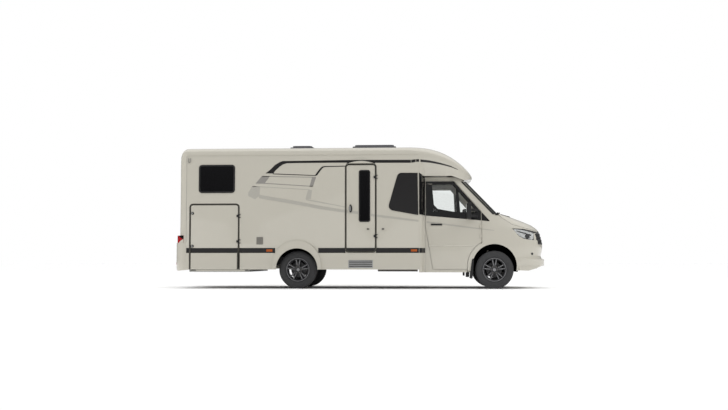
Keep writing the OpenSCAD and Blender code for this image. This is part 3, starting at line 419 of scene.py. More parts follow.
def draped(rows, find, side, proud, sink=SINK, axis=1):
    """A maker of a thin film on a panel through a grid of points; rows off the panel are left out."""
    def make(bm):
        layers = [[], []]
        for row in rows:
            found = [find(a, b) for a, b in row]
            known = [value for value in found if value is not None]
            if not known:
                continue
            for layer, shift in zip(layers, (proud, -sink)):
                line = []
                for (a, b), value in zip(row, found):
                    near = value if value is not None else min(known, key=lambda v: side * v)
                    line.append(bm.verts.new(point_at(a, b, axis, near + side * shift)))
                layer.append(line)
        outer, inner = layers
        last_i, last_j = len(outer) - 1, len(rows[0]) - 1
        for i in range(last_i):
            for j in range(last_j):
                for grid in layers:
                    bm.faces.new((grid[i][j], grid[i + 1][j], grid[i + 1][j + 1], grid[i][j + 1]))
            for j in (0, last_j):
                bm.faces.new((outer[i][j], outer[i + 1][j], inner[i + 1][j], inner[i][j]))
        for j in range(last_j):
            for i in (0, last_i):
                bm.faces.new((outer[i][j], outer[i][j + 1], inner[i][j + 1], inner[i][j]))
    return make


# Outlines and grids, as X and Z unless a maker says otherwise

def rounded_box(box, inset, radius, steps=6):
    """The outline, with round corners, of a box of low X and Z and high X and Z, made smaller by an inset."""
    x0, z0, x1, z1 = box[0] + inset, box[1] + inset, box[2] - inset, box[3] - inset
    points = []
    corners = ((x1 - radius, z1 - radius, 0), (x0 + radius, z1 - radius, 90),
               (x0 + radius, z0 + radius, 180), (x1 - radius, z0 + radius, 270))
    for x, z, start in corners:
        for i in range(steps + 1):
            a = math.radians(start + 90 * i / steps)
            points.append((x + radius * math.cos(a), z + radius * math.sin(a)))
    return points


def oval(x, z, a, b, count=24):
    """An ellipse's outline."""
    turns = [2 * math.pi * k / count for k in range(count)]
    return [(x + a * math.cos(turn), z + b * math.sin(turn)) for turn in turns]


def sweep_outline(rows):
    """An outline from rows of X, Z and width: the upper edge out and the lower edge back."""
    upper = [(x, z + w / 2) for x, z, w in rows]
    lower = [(x, z - w / 2) for x, z, w in rows]
    return upper + lower[::-1]


def finer(rows, step=0.04):
    """Rows with others put between, at most a step apart in their first value."""
    fine = [rows[0]]
    for a, b in zip(rows, rows[1:]):
        count = max(1, math.ceil(abs(b[0] - a[0]) / step))
        fine += [tuple(p + (q - p) * k / count for p, q in zip(a, b)) for k in range(1, count + 1)]
    return fine


def cut_rows(rows, x0, x1):
    """Rows of X, Z and width every 10 mm, as far as they lie between two X places."""
    return [row for row in finer(rows, 0.01) if x0 <= row[0] <= x1]


def steps_between(a, b, count):
    """Values in equal steps from a to b."""
    return [a + (b - a) * k / count for k in range(count + 1)]


def between(a, b, count):
    """Points in equal steps from a to b."""
    return [tuple(p + (q - p) * k / count for p, q in zip(a, b)) for k in range(count + 1)]


def columns(pairs, count):
    """Grid points from pairs of a low and a high point."""
    return [between(a, b, count) for a, b in pairs]


def quad_grid(a, b, c, d, across=12, up=4):
    """Grid points of a four-cornered field: a to b along the bottom and d to c along the top."""
    return columns(zip(between(a, b, across), between(d, c, across)), up)


def rim_grids(outer, inner, across=6, up=2):
    """Grids of the field between an outline and a smaller one with as many points."""
    count = len(outer)
    return [quad_grid(outer[i], outer[(i + 1) % count], inner[(i + 1) % count], inner[i], across, up)
            for i in range(count)]


def disc_grid(x, z, a, b, count=20):
    """Grid points of an oval, from near its middle to its edge."""
    turns = [2 * math.pi * k / count for k in range(count + 1)]
    shares = (0.02, 0.5, 1.0)
    return [[(x + t * a * math.cos(turn), z + t * b * math.sin(turn)) for t in shares] for turn in turns]


def film_rows(rows, parts=2):
    """Grid points over a stripe: across its width for every row."""
    return [[(x, z + w * (k / parts - 0.5)) for k in range(parts + 1)] for x, z, w in rows]


# Pieces

def add_piece(name, makers, body, material):
    """A new object from its makers, on a CAD body."""
    mesh = merged(makers)
    mesh.validate()
    obj = bpy.data.objects.new(name, mesh)
    bpy.context.scene.collection.objects.link(obj)
    obj.data.materials.append(material)
    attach(obj, body)


def black_trim(name, makers, body="body"):
    """A piece of grained black plastic."""
    add_piece(name, makers, body, black_plastic())


def black_field(name, makers, body="body"):
    """A piece of glossy black plastic."""
    add_piece(name, makers, body, gloss_black())


def dark_film(name, makers, body="body"):
    """A piece of dark film."""
    add_piece(name, makers, body, stripe_film())


def sealing(name, makers, body="body"):
    """A piece of rubber sealing."""
    add_piece(name, makers, body, rubber_seal())


def lining(name, makers):
    """A piece of felt lining on the body, nearly black so that it paints the shade inside the front arches.
    """
    add_piece(name, makers, "body", arch_shade_felt())


def painted(name, makers, body="body"):
    """A piece in the body's paint."""
    add_piece(name, makers, body, body_paint())


# Panels whose facets meet at less than this are shaded round
SHARP_ANGLE = math.radians(26)
WELD = 0.00005


def smooth_group():
    """Geometry Nodes that weld a panel's facets and round its shading below a sharp angle."""
    name = "soften_facets"
    if name in bpy.data.node_groups:
        return bpy.data.node_groups[name]
    tree = bpy.data.node_groups.new(name, "GeometryNodeTree")
    tree.interface.new_socket("Geometry", in_out="INPUT", socket_type="NodeSocketGeometry")
    tree.interface.new_socket("Geometry", in_out="OUTPUT", socket_type="NodeSocketGeometry")
    source = add_node(tree, "NodeGroupInput")
    bare = add_node(tree, "GeometryNodeRemoveAttribute", {"Name": "custom_normal"},
                    {"Geometry": source.outputs[0]})
    weld = add_node(tree, "GeometryNodeMergeByDistance", {"Distance": WELD}, {"Geometry": bare.outputs[0]})
    faces = add_node(tree, "GeometryNodeSetShadeSmooth", {"domain": "FACE", "Shade Smooth": True},
                     {"Geometry": weld.outputs[0]})
    angle = add_node(tree, "GeometryNodeInputMeshEdgeAngle")
    sharp = add_node(tree, "FunctionNodeCompare", {"operation": "GREATER_THAN", 1: SHARP_ANGLE},
                     {0: angle.outputs["Unsigned Angle"]})
    edges = add_node(tree, "GeometryNodeSetShadeSmooth", {"domain": "EDGE", "Shade Smooth": False},
                     {"Geometry": faces.outputs[0], "Selection": sharp.outputs[0]})
    add_node(tree, "NodeGroupOutput", None, {0: edges.outputs[0]})
    return tree


SLOT_FINISH = {
    "body_paint": body_paint, "chassis_steel": chassis_enamel, "cast_metal": shaded_cast_iron,
    "exhaust_steel": dull_steel, "black_plastic": black_plastic, "floor_panel": laminate,
    "tinted_acrylic": dark_acrylic, "red_lens": red_lens, "amber_lens": amber_lens,
    "step_alloy": extruded_alloy, "clear_glass": cab_glazing, "lamp_lens": clear_lens,
    "seat_fabric": seat_cloth, "dash_plastic": black_plastic, "wheel_alloy": wheel_alloy,
    "tyre_rubber": tyre_rubber,
}
# The wheel housings take the nearly black felt, whose colour is partly the liner's own and partly painted
# shade
NODE_FINISH = {
    "wheel_housings": arch_shade_felt, "roof_hatch_front": grey_acrylic, "roof_hatch_rear": grey_acrylic}


class MOTORHOME_OT_finishes(bpy.types.Operator):
    """Gives every CAD node its finish and softens the facets of curved panels."""

    bl_idname = "motorhome.finishes"
    bl_label = "Finishes"

    def execute(self, context):
        for part in frame["record"]["subparts"]:
            node = NODES[part["node"]]
            node.data.materials.clear()
            finish = NODE_FINISH.get(part["node"], SLOT_FINISH[part["material_slot"]])
            node.data.materials.append(finish())
            soft = node.modifiers.new("soften", "NODES")
            soft.node_group = smooth_group()
        return {"FINISHED"}


# Graphics of the right wall, as X and Z outlines; the left wall has them mirrored
BAND_OUTER = mm((-1824, 2254), (-1735, 2322), (-1637, 2420), (-1538, 2478), (-1479, 2497), (-1144, 2499))
BAND_INNER = mm((-1665, 2253), (-1636, 2302), (-1538, 2390), (-1479, 2429), (-1400, 2452), (-1143, 2456))
HOOK_OUTER = mm((-853, 2207), (-767, 2324), (-722, 2374), (-690, 2388), (-656, 2393), (-262, 2398))
HOOK_INNER = mm((-808, 2207), (-745, 2296), (-700, 2350), (-676, 2366), (-640, 2374), (-262, 2380))
DARK_SHAPES = [
    BAND_OUTER + BAND_INNER[::-1],
    mm((-1675, 2253), (-828, 2215), (-828, 2201), (-1675, 2237)),
    HOOK_OUTER + HOOK_INNER[::-1],
]
MID_SHAPES = [
    mm((-1893, 2205), (-1734, 2204), (-1842, 2053), (-2020, 2054)),
    mm((-1892, 2204), (-828, 2180), (-828, 2167), (-1892, 2191)),
    mm((-906, 2170), (-828, 2169), (-886, 1989), (-955, 1990)),
    mm((-1842, 2067), (-886, 2003), (-886, 1989), (-1842, 2053)),
]
LIGHT_SHAPES = [
    mm((-2079, 2009), (-2162, 1881), (-2161, 1813), (-2028, 1747), (-1940, 1812), (-1931, 1989)),
    mm((-2079, 2009), (-945, 1938), (-945, 1925), (-2079, 1995)),
    mm((-984, 1925), (-906, 1925), (-925, 1749), (-1033, 1749)),
]
# The dark print over and a little beyond the right lounge window
LOUNGE_FILM = mm((1166, 1428), (667, 1519), (633, 1534), (607, 1560), (595, 1595), (597, 1632), (756, 2186),
                 (769, 2212), (789, 2233), (814, 2246), (843, 2251), (1156, 2249))
LOUNGE_FILM_PROUD = 0.0075
# Stripes as rows of X, Z and width: along the wall and the cap, and the long light sweep with its thin line
STRIPE_ROWS = mm((-1144, 2477, 43), (-259, 2483, 50), (500, 2478, 58), (1026, 2476, 58))
STRIPE_END_ROWS = mm((1034, 2476, 58), (1118, 2488, 54))
CAP_ROWS = mm((1126, 2490, 52), (1176, 2492, 50), (1397, 2470, 42), (1592, 2431, 34), (1787, 2382, 24),
              (1942, 2323, 8))
SWEEP_ROWS = mm((-1950, 1802, 66), (-1535, 1732, 68), (-1141, 1662, 68), (-748, 1582, 64), (-356, 1522, 58),
                (35, 1472, 52), (327, 1423, 46), (812, 1363, 40), (1200, 1313, 36), (1296, 1305, 34),
                (2169, 1190, 26), (2651, 1131, 14))
LINE_ROWS = mm((-1023, 1738, 22), (-748, 1686, 22), (-262, 1592, 14))
# Where the sweep runs, from one X to another: the walls, the entry door, the cab door and the fender
SWEEP_LEFT = mm((-1960, 1176))
SWEEP_RIGHT = mm((-1960, -250), (347, 1176))
SWEEP_ENTRY = mm((-238, -4), (248, 335))
SWEEP_CAB = (1.316, 2.384)
SWEEP_FENDER = (2.402, 2.640)
# Belt strip: its heights, how far it lies back in the wall, and the spans that arches and doors leave
BELT_Z = (0.697, 0.794)
BELT_RECESS = 0.014
BELT_LEFT = mm((-3386, -3319), (-2340, -1628), (-782, 1177))
BELT_RIGHT = BELT_LEFT[:2] + mm((-782, -250), (347, 1177))
BELT_GARAGE = (-3.308, -2.353)
BELT_ENTRY = (-0.239, 0.336)
BELT_ENTRY_LOW = 0.727
BELT_PILLAR_Z = (0.698, 0.792)
# Folds of the door pillar's section, so that a film follows them
PILLAR_X = (1.184, 1.208, 1.233, 1.245, 1.256, 1.268, 1.280, 1.296)


class MOTORHOME_OT_stripes(bpy.types.Operator):
    """Lays the belt strips, stripes and printed graphics on both sides."""

    bl_idname = "motorhome.stripes"
    bl_label = "Stripes"

    def lay_side(self, side, film):
        """The films of one side."""
        name = SIDE_NAME[side]
        face = side * HALF_W
        out, back = face + side * film, face - side * FILM_BACK
        low, deep = face - side * (BELT_RECESS - film), face - side * (BELT_RECESS + FILM_BACK)
        belt_low, belt_high = BELT_Z
        dark_film("belt_strip_" + name, [cuboid((a, low, belt_low), (b, deep, belt_high))
                                         for a, b in (BELT_RIGHT if side == RIGHT else BELT_LEFT)])
        rear, front = BELT_GARAGE
        dark_film("garage_belt_strip_" + name, [cuboid((rear, low, belt_low), (front, deep, belt_high))],
                  "garage_door_" + name)
        wall = surface([name + "_wall", "roof_cap"], side)
        dark = [slab(shape, back, out) for shape in DARK_SHAPES]
        dark += [draped(film_rows(finer(rows)), wall, side, film)
                 for rows in (STRIPE_ROWS, STRIPE_END_ROWS, CAP_ROWS)]
        pillar = surface(["door_pillars"], side)
        pillar_low, pillar_high = BELT_PILLAR_Z
        folds = columns([((x, pillar_low), (x, pillar_high)) for x in PILLAR_X], 2)
        dark.append(draped(folds, pillar, side, film))
        dark_film("dark_graphics_" + name, dark)
        add_piece("mid_grey_graphics_" + name, [slab(shape, back, out) for shape in MID_SHAPES],
                  "body", mid_grey_film())
        sweep = [slab(sweep_outline(cut_rows(SWEEP_ROWS, a, b)), back, out + side * film)
                 for a, b in (SWEEP_RIGHT if side == RIGHT else SWEEP_LEFT)]
        sweep += [slab(shape, back, out) for shape in LIGHT_SHAPES]
        sweep.append(slab(sweep_outline(LINE_ROWS), back, out))
        fenders = surface(["front_fenders"], side)
        sweep.append(draped(film_rows(cut_rows(SWEEP_ROWS, *SWEEP_FENDER)), fenders, side, film))
        add_piece("light_graphics_" + name, sweep, "body", light_grey_film())
        door = "cab_door_" + name
        add_piece("cab_sweep_" + name,
                  [draped(film_rows(cut_rows(SWEEP_ROWS, *SWEEP_CAB)), surface([door], side), side, film)],
                  door, light_grey_film())

    def execute(self, context):
        film = sizes().film_t
        for side in BOTH:
            self.lay_side(side, film)
        face = -HALF_W
        sweep = [slab(sweep_outline(cut_rows(SWEEP_ROWS, a, b)), face + FILM_BACK, face - film)
                 for a, b in SWEEP_ENTRY]
        add_piece("entry_sweep", sweep, "entry_door", light_grey_film())
        dark_film("lounge_window_film", [slab(LOUNGE_FILM, face + SINK, face - LOUNGE_FILM_PROUD)])
        rear, front = BELT_ENTRY
        strip = cuboid((rear, face + BELT_RECESS - film, BELT_ENTRY_LOW),
                       (front, face + BELT_RECESS + FILM_BACK, BELT_Z[1]))
        dark_film("entry_belt_strip", [strip], "entry_door")
        return {"FINISHED"}


# Doors as low X and Z and high X and Z, their corner radius, and the gap from a door to its frame's seal
DOOR_CORNER_R = 0.052
SEAL_GAP = 0.008
GARAGE_FRONT_X = GARAGE_HIGH.x - 0.013
GARAGE_DOOR = (GARAGE_LOW.x, 0.377, GARAGE_FRONT_X, 1.645)
ENTRY_DOOR = (-0.240, 0.724, 0.337, 2.417)
# How far a seal stands off the wall: on the door's edge it has to turn past the hinges
SEAL_PROUD = {"frame": 0.003, "edge": 0.0012}
# Wide rubber bars below the belt beside the garage door's front edge
EDGE_BAR = (-2.341, 0.377, -2.322, 0.694)
DOOR_BAR = (-2.378, 0.377, -2.354, 0.694)
BAR_R = 0.004
# Windows, and their frames' corner radii and insets, outer and inner, with their places off the wall
BED_WINDOW = (-3.146, 1.873, -2.426, 2.429)
LEFT_LOUNGE_WINDOW = (0.278, 1.560, 0.978, 2.200)
ENTRY_WINDOW = (0.012, 1.299, 0.232, 2.310)
FRAME_R = (0.063, 0.035)
FRAME_INSET = (0.002, 0.030)
FRAME_OFF = (0.003, 0.009)
ENTRY_FRAME_R = (0.043, 0.023)
ENTRY_FRAME_INSET = (0.0, 0.020)
ENTRY_FRAME_OFF = (0.002, 0.008)
# Hinges: the pin's place beyond the door's edge and off the wall, how far the two leaves reach from it,
# and the share of that reach at which they start
HINGE_PIN_X = 0.004
HINGE_PIN_OFF = 0.010
HINGE_PIN_R = 0.0093
HINGE_LEAF_OFF = 0.0162
DOOR_LEAF = -0.041
FRAME_LEAF = 0.037
LEAF_START = 0.1
ENTRY_HINGE_Z = (1.0, 2.15)
GARAGE_HINGE_Z = (0.9, 1.4)
# Knuckles as starts and lengths along the pin: the door's between the frame's two
DOOR_KNUCKLES = mm((0, 44))
FRAME_KNUCKLES = mm((-16, 15), (45, 15))


def door_line(door, grow):
    """The outline of a door's top and sides, open at the bottom, grown by a distance."""
    x0, z0, x1, z1 = door
    below = 1.0
    box = rounded_box((x0, z0 - below + grow, x1, z1), -grow, DOOR_CORNER_R + grow)
    return [(x1 + grow, z0)] + [(x, z) for x, z in box if z > z0] + [(x0 - grow, z0)]


def hinge_caps(x, side, reach, heights, knuckles):
    """Makers of caps over the knuckles and leaf of the hinges at some heights."""
    pin, out = side * (HALF_W + HINGE_PIN_OFF), side * (HALF_W + HINGE_LEAF_OFF)
    makers = []
    for height in heights:
        for start, length in knuckles:
            z = height + start
            makers.append(rod((x, pin, z), (x, pin, z + length), HINGE_PIN_R))
            makers.append(cuboid((x + reach * LEAF_START, side * HALF_W, z), (x + reach, out, z + length)))
    return makers


class MOTORHOME_OT_seals(bpy.types.Operator):
    """Fits the rubber around the doors and the frames around the windows."""

    bl_idname = "motorhome.seals"
    bl_label = "Seals"

    def seal_spans(self, door):
        """The two seals of a door: its label, inner and outer growth, and the body it rides on."""
        rim = sizes().seal_w / 2
        return (("frame", SEAL_GAP, SEAL_GAP + rim, "body"), ("edge", -rim, 0.0, door))

    def fit_side(self, side):
        """The garage door's seals and the window frames of one side."""
        name = SIDE_NAME[side]
        face = side * HALF_W
        back, out = face - side * SINK, face + side * SEAL_PROUD["frame"]
        door = "garage_door_" + name
        for label, inner, outer, body in self.seal_spans(door):
            line = door_line(GARAGE_DOOR, outer) + door_line(GARAGE_DOOR, inner)[::-1]
            seal = slab(line, back, face + side * SEAL_PROUD[label])
            sealing("garage_seal_%s_%s" % (label, name), [seal], body)
        sealing("garage_edge_bar_" + name, [slab(rounded_box(EDGE_BAR, 0.0, BAR_R), back, out)])
        sealing("garage_door_bar_" + name, [slab(rounded_box(DOOR_BAR, 0.0, BAR_R), back, out)], door)
        windows = [BED_WINDOW] if side == RIGHT else [BED_WINDOW, LEFT_LOUNGE_WINDOW]
        frames = []
        for window in windows:
            outer, inner = [rounded_box(window, inset, r) for inset, r in zip(FRAME_INSET, FRAME_R)]
            frames.append(ring(outer, inner, *[face + side * off for off in FRAME_OFF]))
        black_trim("window_frames_" + name, frames)

    def execute(self, context):
        for side in BOTH:
            self.fit_side(side)
        face = -HALF_W
        for label, inner, outer, body in self.seal_spans("entry_door"):
            lines = [rounded_box(ENTRY_DOOR, -grow, DOOR_CORNER_R + grow) for grow in (outer, inner)]
            sealing("entry_seal_" + label, [ring(*lines, face + SINK, face - SEAL_PROUD[label])], body)
        hinges = [("entry_door", RIGHT, ENTRY_DOOR[2], ENTRY_HINGE_Z)]
        hinges += [("garage_door_" + SIDE_NAME[side], side, GARAGE_FRONT_X, GARAGE_HINGE_Z) for side in BOTH]
        for door, side, edge_x, heights in hinges:
            x = edge_x + HINGE_PIN_X
            black_trim("hinge_leaf_" + door, hinge_caps(x, side, DOOR_LEAF, heights, DOOR_KNUCKLES), door)
            black_trim("hinge_frame_" + door, hinge_caps(x, side, FRAME_LEAF, heights, FRAME_KNUCKLES))
        outer, inner = [rounded_box(ENTRY_WINDOW, inset, r)
                        for inset, r in zip(ENTRY_FRAME_INSET, ENTRY_FRAME_R)]
        black_trim("entry_window_frame", [ring(outer, inner, *[face - off for off in ENTRY_FRAME_OFF])],
                   "entry_door")
        return {"FINISHED"}


# Cab side, as X and Z: the black field around the window's opening, and the dark print on its panes
FIELD_LOW = mm((1312, 1426), (2268, 1339), (2386, 1328))
FIELD_REAR = mm((1312, 1494), (1312, 2060), (1312, 2102))
FIELD_FRONT = mm((2386, 1500), (1862, 2102))
PANE = mm((1433, 2042), (1832, 2042), (2268, 1540), (2268, 1482), (1455, 1508))
FRIT = [
    (mm((1415, 2060), (1437, 1490), (1600, 1485), (1935, 1474), (1935, 1951), (1840, 2060)),
     mm((1434, 2040), (1470, 1640), (1545, 1560), (1922, 1490), (1898, 1962), (1830, 2040))),
    (mm((1935, 1951), (1935, 1474), (2288, 1462), (2288, 1545)),
     mm((1952, 1895), (1985, 1495), (2262, 1490), (2262, 1545))),
]
FIELD_PROUD = 0.0015
FRIT_PROUD = 0.001
# Half width of the cab by height, and its windscreen's height and side edge ahead of the front axle
CAB_WIDTHS = mm((300, 978), (600, 1000), (900, 1006), (1180, 992), (1420, 955), (2230, 824))
SCREEN_EDGE = mm((1446, 20), (1780, -295), (2100, -598))
# The screen trim's section: places ahead of that edge, and out from a line set in from the cab's side
SCREEN_INSIDE = 0.070
TRIM_SECTION = mm((-14, 6), (60, -12), (40, -80), (-10, -50))
BAND_AHEAD = (-0.050, -0.004)
BAND_PROUD = 0.002
# Pressed rib along the door: its X places, heights of which the middle one stands proud, and its sheet
RIB_X = (1.372, 1.5, 1.7, 1.9, 2.1, 2.21)
RIB_Z = (0.822, 0.834, 0.850)
RIB_PROUD = 0.009
RIB_SHEET = 0.001
HANDLE_X = (1.409, 1.629)
HANDLE_Z = (1.233, 1.267)
HANDLE_LEVEL = 1.25
HANDLE_OFF = (-0.001, 0.0155)
# Black field on the door pillar: heights at its rear edge and their slopes along X
PILLAR_FIELD_Z = (1.443, 2.255)
PILLAR_SLOPE = (-0.12, -0.62)
PILLAR_PROUD = 0.009
TIP = mm((2398, 1328), (2545, 1312), (2552, 1322), (2398, 1494))
TIP_PROUD = 0.003
FOOT = mm((2490, 1300), (2585, 1300), (2650, 1400), (2490, 1400))
FOOT_PROUD = 0.0012
# Mirror glass: inner edge, margin at the outer edge, heights, and places from the housing's rear face
MIRROR_INNER_Y = 1.108
MIRROR_MARGIN = 0.02
MIRROR_Z = (1.375, 1.635)
MIRROR_X = (-0.001, 0.012)
# Mud flap behind the front wheel: the flap, its outer edge and a bracket, with their Y spans
FLAP = mm((2172, 400), (2226, 400), (2213, 205), (2160, 205))
FLAP_EDGE = mm((2164, 211), (2182, 204), (2213, 226), (2226, 360), (2243, 570), (2232, 588), (2212, 586),
               (2200, 560), (2168, 300))
FLAP_Y = (0.78, 0.97)
FLAP_EDGE_Y = (0.93, 1.0015)
BRACKET = mm((2084, 860, 230), (2124, 930, 330))


def cab_face(side):
    """A function giving the cab's side at a height, for films across two panels."""
    def find(x, z):
        spans = [(a, b) for a, b in zip(CAB_WIDTHS, CAB_WIDTHS[1:]) if z <= b[0]]
        (z0, w0), (z1, w1) = spans[0]
        return side * (w0 + (w1 - w0) * (z - z0) / (z1 - z0))
    return find


def mirrored_box(corners, side):
    """A maker of a box whose two corners are given for the left side."""
    return cuboid(*[(x, side * y, z) for x, y, z in corners])


class MOTORHOME_OT_cab_side(bpy.types.Operator):
    """Black fields and trims around the cab's glass, door handles, mirrors and mud flaps."""

    bl_idname = "motorhome.cab_side"
    bl_label = "Cab side"

    def dress_door(self, side, flat):
        """The field and print around the door's window, the pressed rib and the handle."""
        name = SIDE_NAME[side]
        door = "cab_door_" + name
        low_a, low_b, low_c = FIELD_LOW
        rear_a, rear_b, rear_c = FIELD_REAR
        front_a, front_b = FIELD_FRONT
        fields = [
            quad_grid(low_a, low_b, PANE[3], PANE[4]),
            quad_grid(low_a, PANE[4], PANE[4], rear_a, 4, 4),
            quad_grid(rear_a, PANE[4], PANE[0], rear_b, 4, 12),
            quad_grid(rear_b, PANE[1], front_b, rear_c),
            quad_grid(PANE[2], front_a, front_b, PANE[1], 4, 12),
            quad_grid(low_b, low_c, front_a, PANE[2], 4, 4)]
        black_field("cab_window_field_" + name,
                    [draped(rows, flat, side, FIELD_PROUD) for rows in fields], door)
        pane = surface(["cab_glass_" + name], side)
        prints = [rows for pair in FRIT for rows in rim_grids(*pair)]
        black_field("cab_window_frit_" + name,
                    [draped(rows, pane, side, FRIT_PROUD, FRIT_PROUD) for rows in prints], door)

        def pressed(x, z):
            return flat(x, z) + side * (RIB_PROUD if z == RIB_Z[1] else 0.0)

        rib = [[(x, z) for z in RIB_Z] for x in RIB_X]
        painted("cab_door_rib_" + name, [draped(rib, pressed, side, RIB_SHEET)], door)
        skin = abs(flat(0, HANDLE_LEVEL))
        grip = zip(HANDLE_X, [skin + off for off in HANDLE_OFF], HANDLE_Z)
        black_trim("cab_handle_" + name, [mirrored_box(grip, side)], door)

    def dress_pillars(self, side, flat):
        """The fields on the two pillars, and the black trim and band beside the windscreen, which are partly
        trim and partly a painted dark reflection of the screen seen edge-on.
        """
        name = SIDE_NAME[side]
        pillar = surface(["door_pillars", "roof_cap"], side)
        ends = [[(x, z + slope * (x - PILLAR_X[0])) for z, slope in zip(PILLAR_FIELD_Z, PILLAR_SLOPE)]
                for x in PILLAR_X]
        black_field("pillar_field_" + name, [draped(columns(ends, 28), pillar, side, PILLAR_PROUD),
                                             draped(quad_grid(*TIP, 6, 6), flat, side, TIP_PROUD)])
        painted("pillar_foot_" + name, [draped(quad_grid(*FOOT, 6, 6), flat, side, FOOT_PROUD)])
        # Black trim and band along the windscreen's side: partly real trim, partly the painted dark
        # reflection of the glass seen edge-on
        trim = []
        for z, ahead in SCREEN_EDGE:
            x, w = FRONT_AXLE_X + ahead, abs(flat(0, z)) - SCREEN_INSIDE
            trim.append([(x + dx, side * (w + dw), z) for dx, dw in TRIM_SECTION])
        black_trim("screen_trim_" + name, [loft(trim)])
        rear, front = BAND_AHEAD
        band = []
        for a, b in zip(SCREEN_EDGE, SCREEN_EDGE[1:]):
            for z, ahead in between(a, b, 10):
                x = FRONT_AXLE_X + ahead
                band.append(between((x + rear, z), (x + front, z), 3))
        black_trim("screen_reflection_band_" + name, [draped(band, surface(["cab_frame"], side), side, BAND_PROUD)])

    def execute(self, context):
        for side in BOTH:
            name = SIDE_NAME[side]
            flat = cab_face(side)
            self.dress_door(side, flat)
            self.dress_pillars(side, flat)
            low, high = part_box("mirror_" + name)
            outer = max(abs(low.y), abs(high.y)) - MIRROR_MARGIN
            corners = zip([low.x + x for x in MIRROR_X], (MIRROR_INNER_Y, outer), MIRROR_Z)
            add_piece("mirror_glass_" + name, [mirrored_box(corners, side)],
                      "cab_door_" + name, chrome_reflector())
            black_trim("mud_flap_" + name, [slab(FLAP, *[side * y for y in FLAP_Y]),
                                            slab(FLAP_EDGE, *[side * y for y in FLAP_EDGE_Y]),
                                            mirrored_box(BRACKET, side)])
        return {"FINISHED"}


# Headlamp, as X and Z: low and high points of its bezel, the dark line and the projector in it
BEZEL = [mm((x, low), (x, high)) for x, low, high in (
    (3020, 1135, 1160), (3060, 1090, 1155), (3120, 1035, 1148), (3200, 990, 1138), (3300, 966, 1112),
    (3405, 962, 1088))]
BEZEL_DEPTH = (0.008, 0.011)
HOUSING_DEPTH = (0.0112, 0.020)
LAMP_LINE = mm((3070, 1122, 14), (3200, 1085, 22), (3360, 1040, 26))
LINE_DEPTH = (0.004, 0.007)
PROJECTOR = (3.285, 1.020, 0.050, 0.046)
PROJECTOR_DEPTH = (0.003, 0.007)
# Painted end piece between lamp and grille
LAMP_END_X = (3.418, 3.435, 3.452, 3.470)
LAMP_END_Z = (0.952, 1.088)
LAMP_END_PROUD = 0.002
# Wings of the grille, as Y and Z: their inner edge, the place where the outer one is found, and four slats
WING_INNER_Y = 0.474
WING_OUTER_AT = (3.478, 0.97)
WING_Z = (0.868, 1.072)
WING_PROUD = 0.003
SLAT_Z = (0.866, 0.928, 0.990, 1.044)
SLAT_H = 0.030
SLAT_PROUD = 0.009
# Parking sensor in the bumper, as X, Z and radii
SENSOR = (3.378, 0.680, 0.022, 0.026)
SENSOR_PROUD = 0.003
# Tail lamp, as X and Z: the smoked upper field and the painted lower corner
SMOKED = [mm((x, low), (x, 1041)) for x, low in (
    (-3552, 1030), (-3530, 1014), (-3500, 992), (-3475, 980), (-3446, 970))]
TAIL_COVER = [mm((x, 901), (x, high)) for x, high in ((-3540, 912), (-3515, 930), (-3490, 950), (-3446, 968))]
COVER_PROUD = 0.003
# Bonnet: the vent as rows of X, Y and width, and the hinges with the leaf's and the cowl's sections
BONNET_VENT = mm((2785, 640, 10), (2870, 650, 34), (2965, 660, 8))
VENT_PROUD = 0.012
BONNET_PIN_X, BONNET_PIN_Z = 2.720, 1.486
BONNET_PIN_R = 0.0096
BONNET_HINGE_Y = 0.72
BONNET_LEAF_HALF = 0.0203
BONNET_LEAF = mm((4, -20), (44.5, 4.6))
COWL_CHEEKS = mm((-38.5, -21.6), (21.6, 38.5))
COWL_X = (-0.0126, 0.0046)
COWL_Z = (1.44, 1.4946)
# Wipers: the blade's two ends and the hub of its arm in Y, and heights and distances from the screen
WIPERS = mm((-740, -100, -60), (-20, 660, 640))
BLADE_Z = (1.500, 1.482)
BLADE_OFF = 0.012
BLADE_R = 0.007
HUB_Z = 1.462
HUB_OFF = 0.02
ARM_R = 0.006
# Rear: half widths, heights and depth of the third brake lamp and the camera, and the reflectors' Y and Z
BRAKE_LAMP_HALF = 0.17
BRAKE_LAMP_Z = (2.36, 2.392)
BRAKE_LAMP_T = 0.012
CAMERA_HALF = 0.035
CAMERA_Z = (2.452, 2.488)
CAMERA_T = 0.024
REFLECTOR_Y = (0.80, 0.84, 0.88, 0.92)
REFLECTOR_Z = (0.470, 0.512)
REFLECTOR_PROUD = 0.004
# Chin below the front bumper: its lower edge as X and Z, its top, and the height whose width it follows
CHIN = mm((3120, 358), (3300, 354), (3440, 392), (3560, 436))
CHIN_TOP_Z = 0.490
CHIN_WIDTH_Z = 0.52
CHIN_INSIDE = 0.010


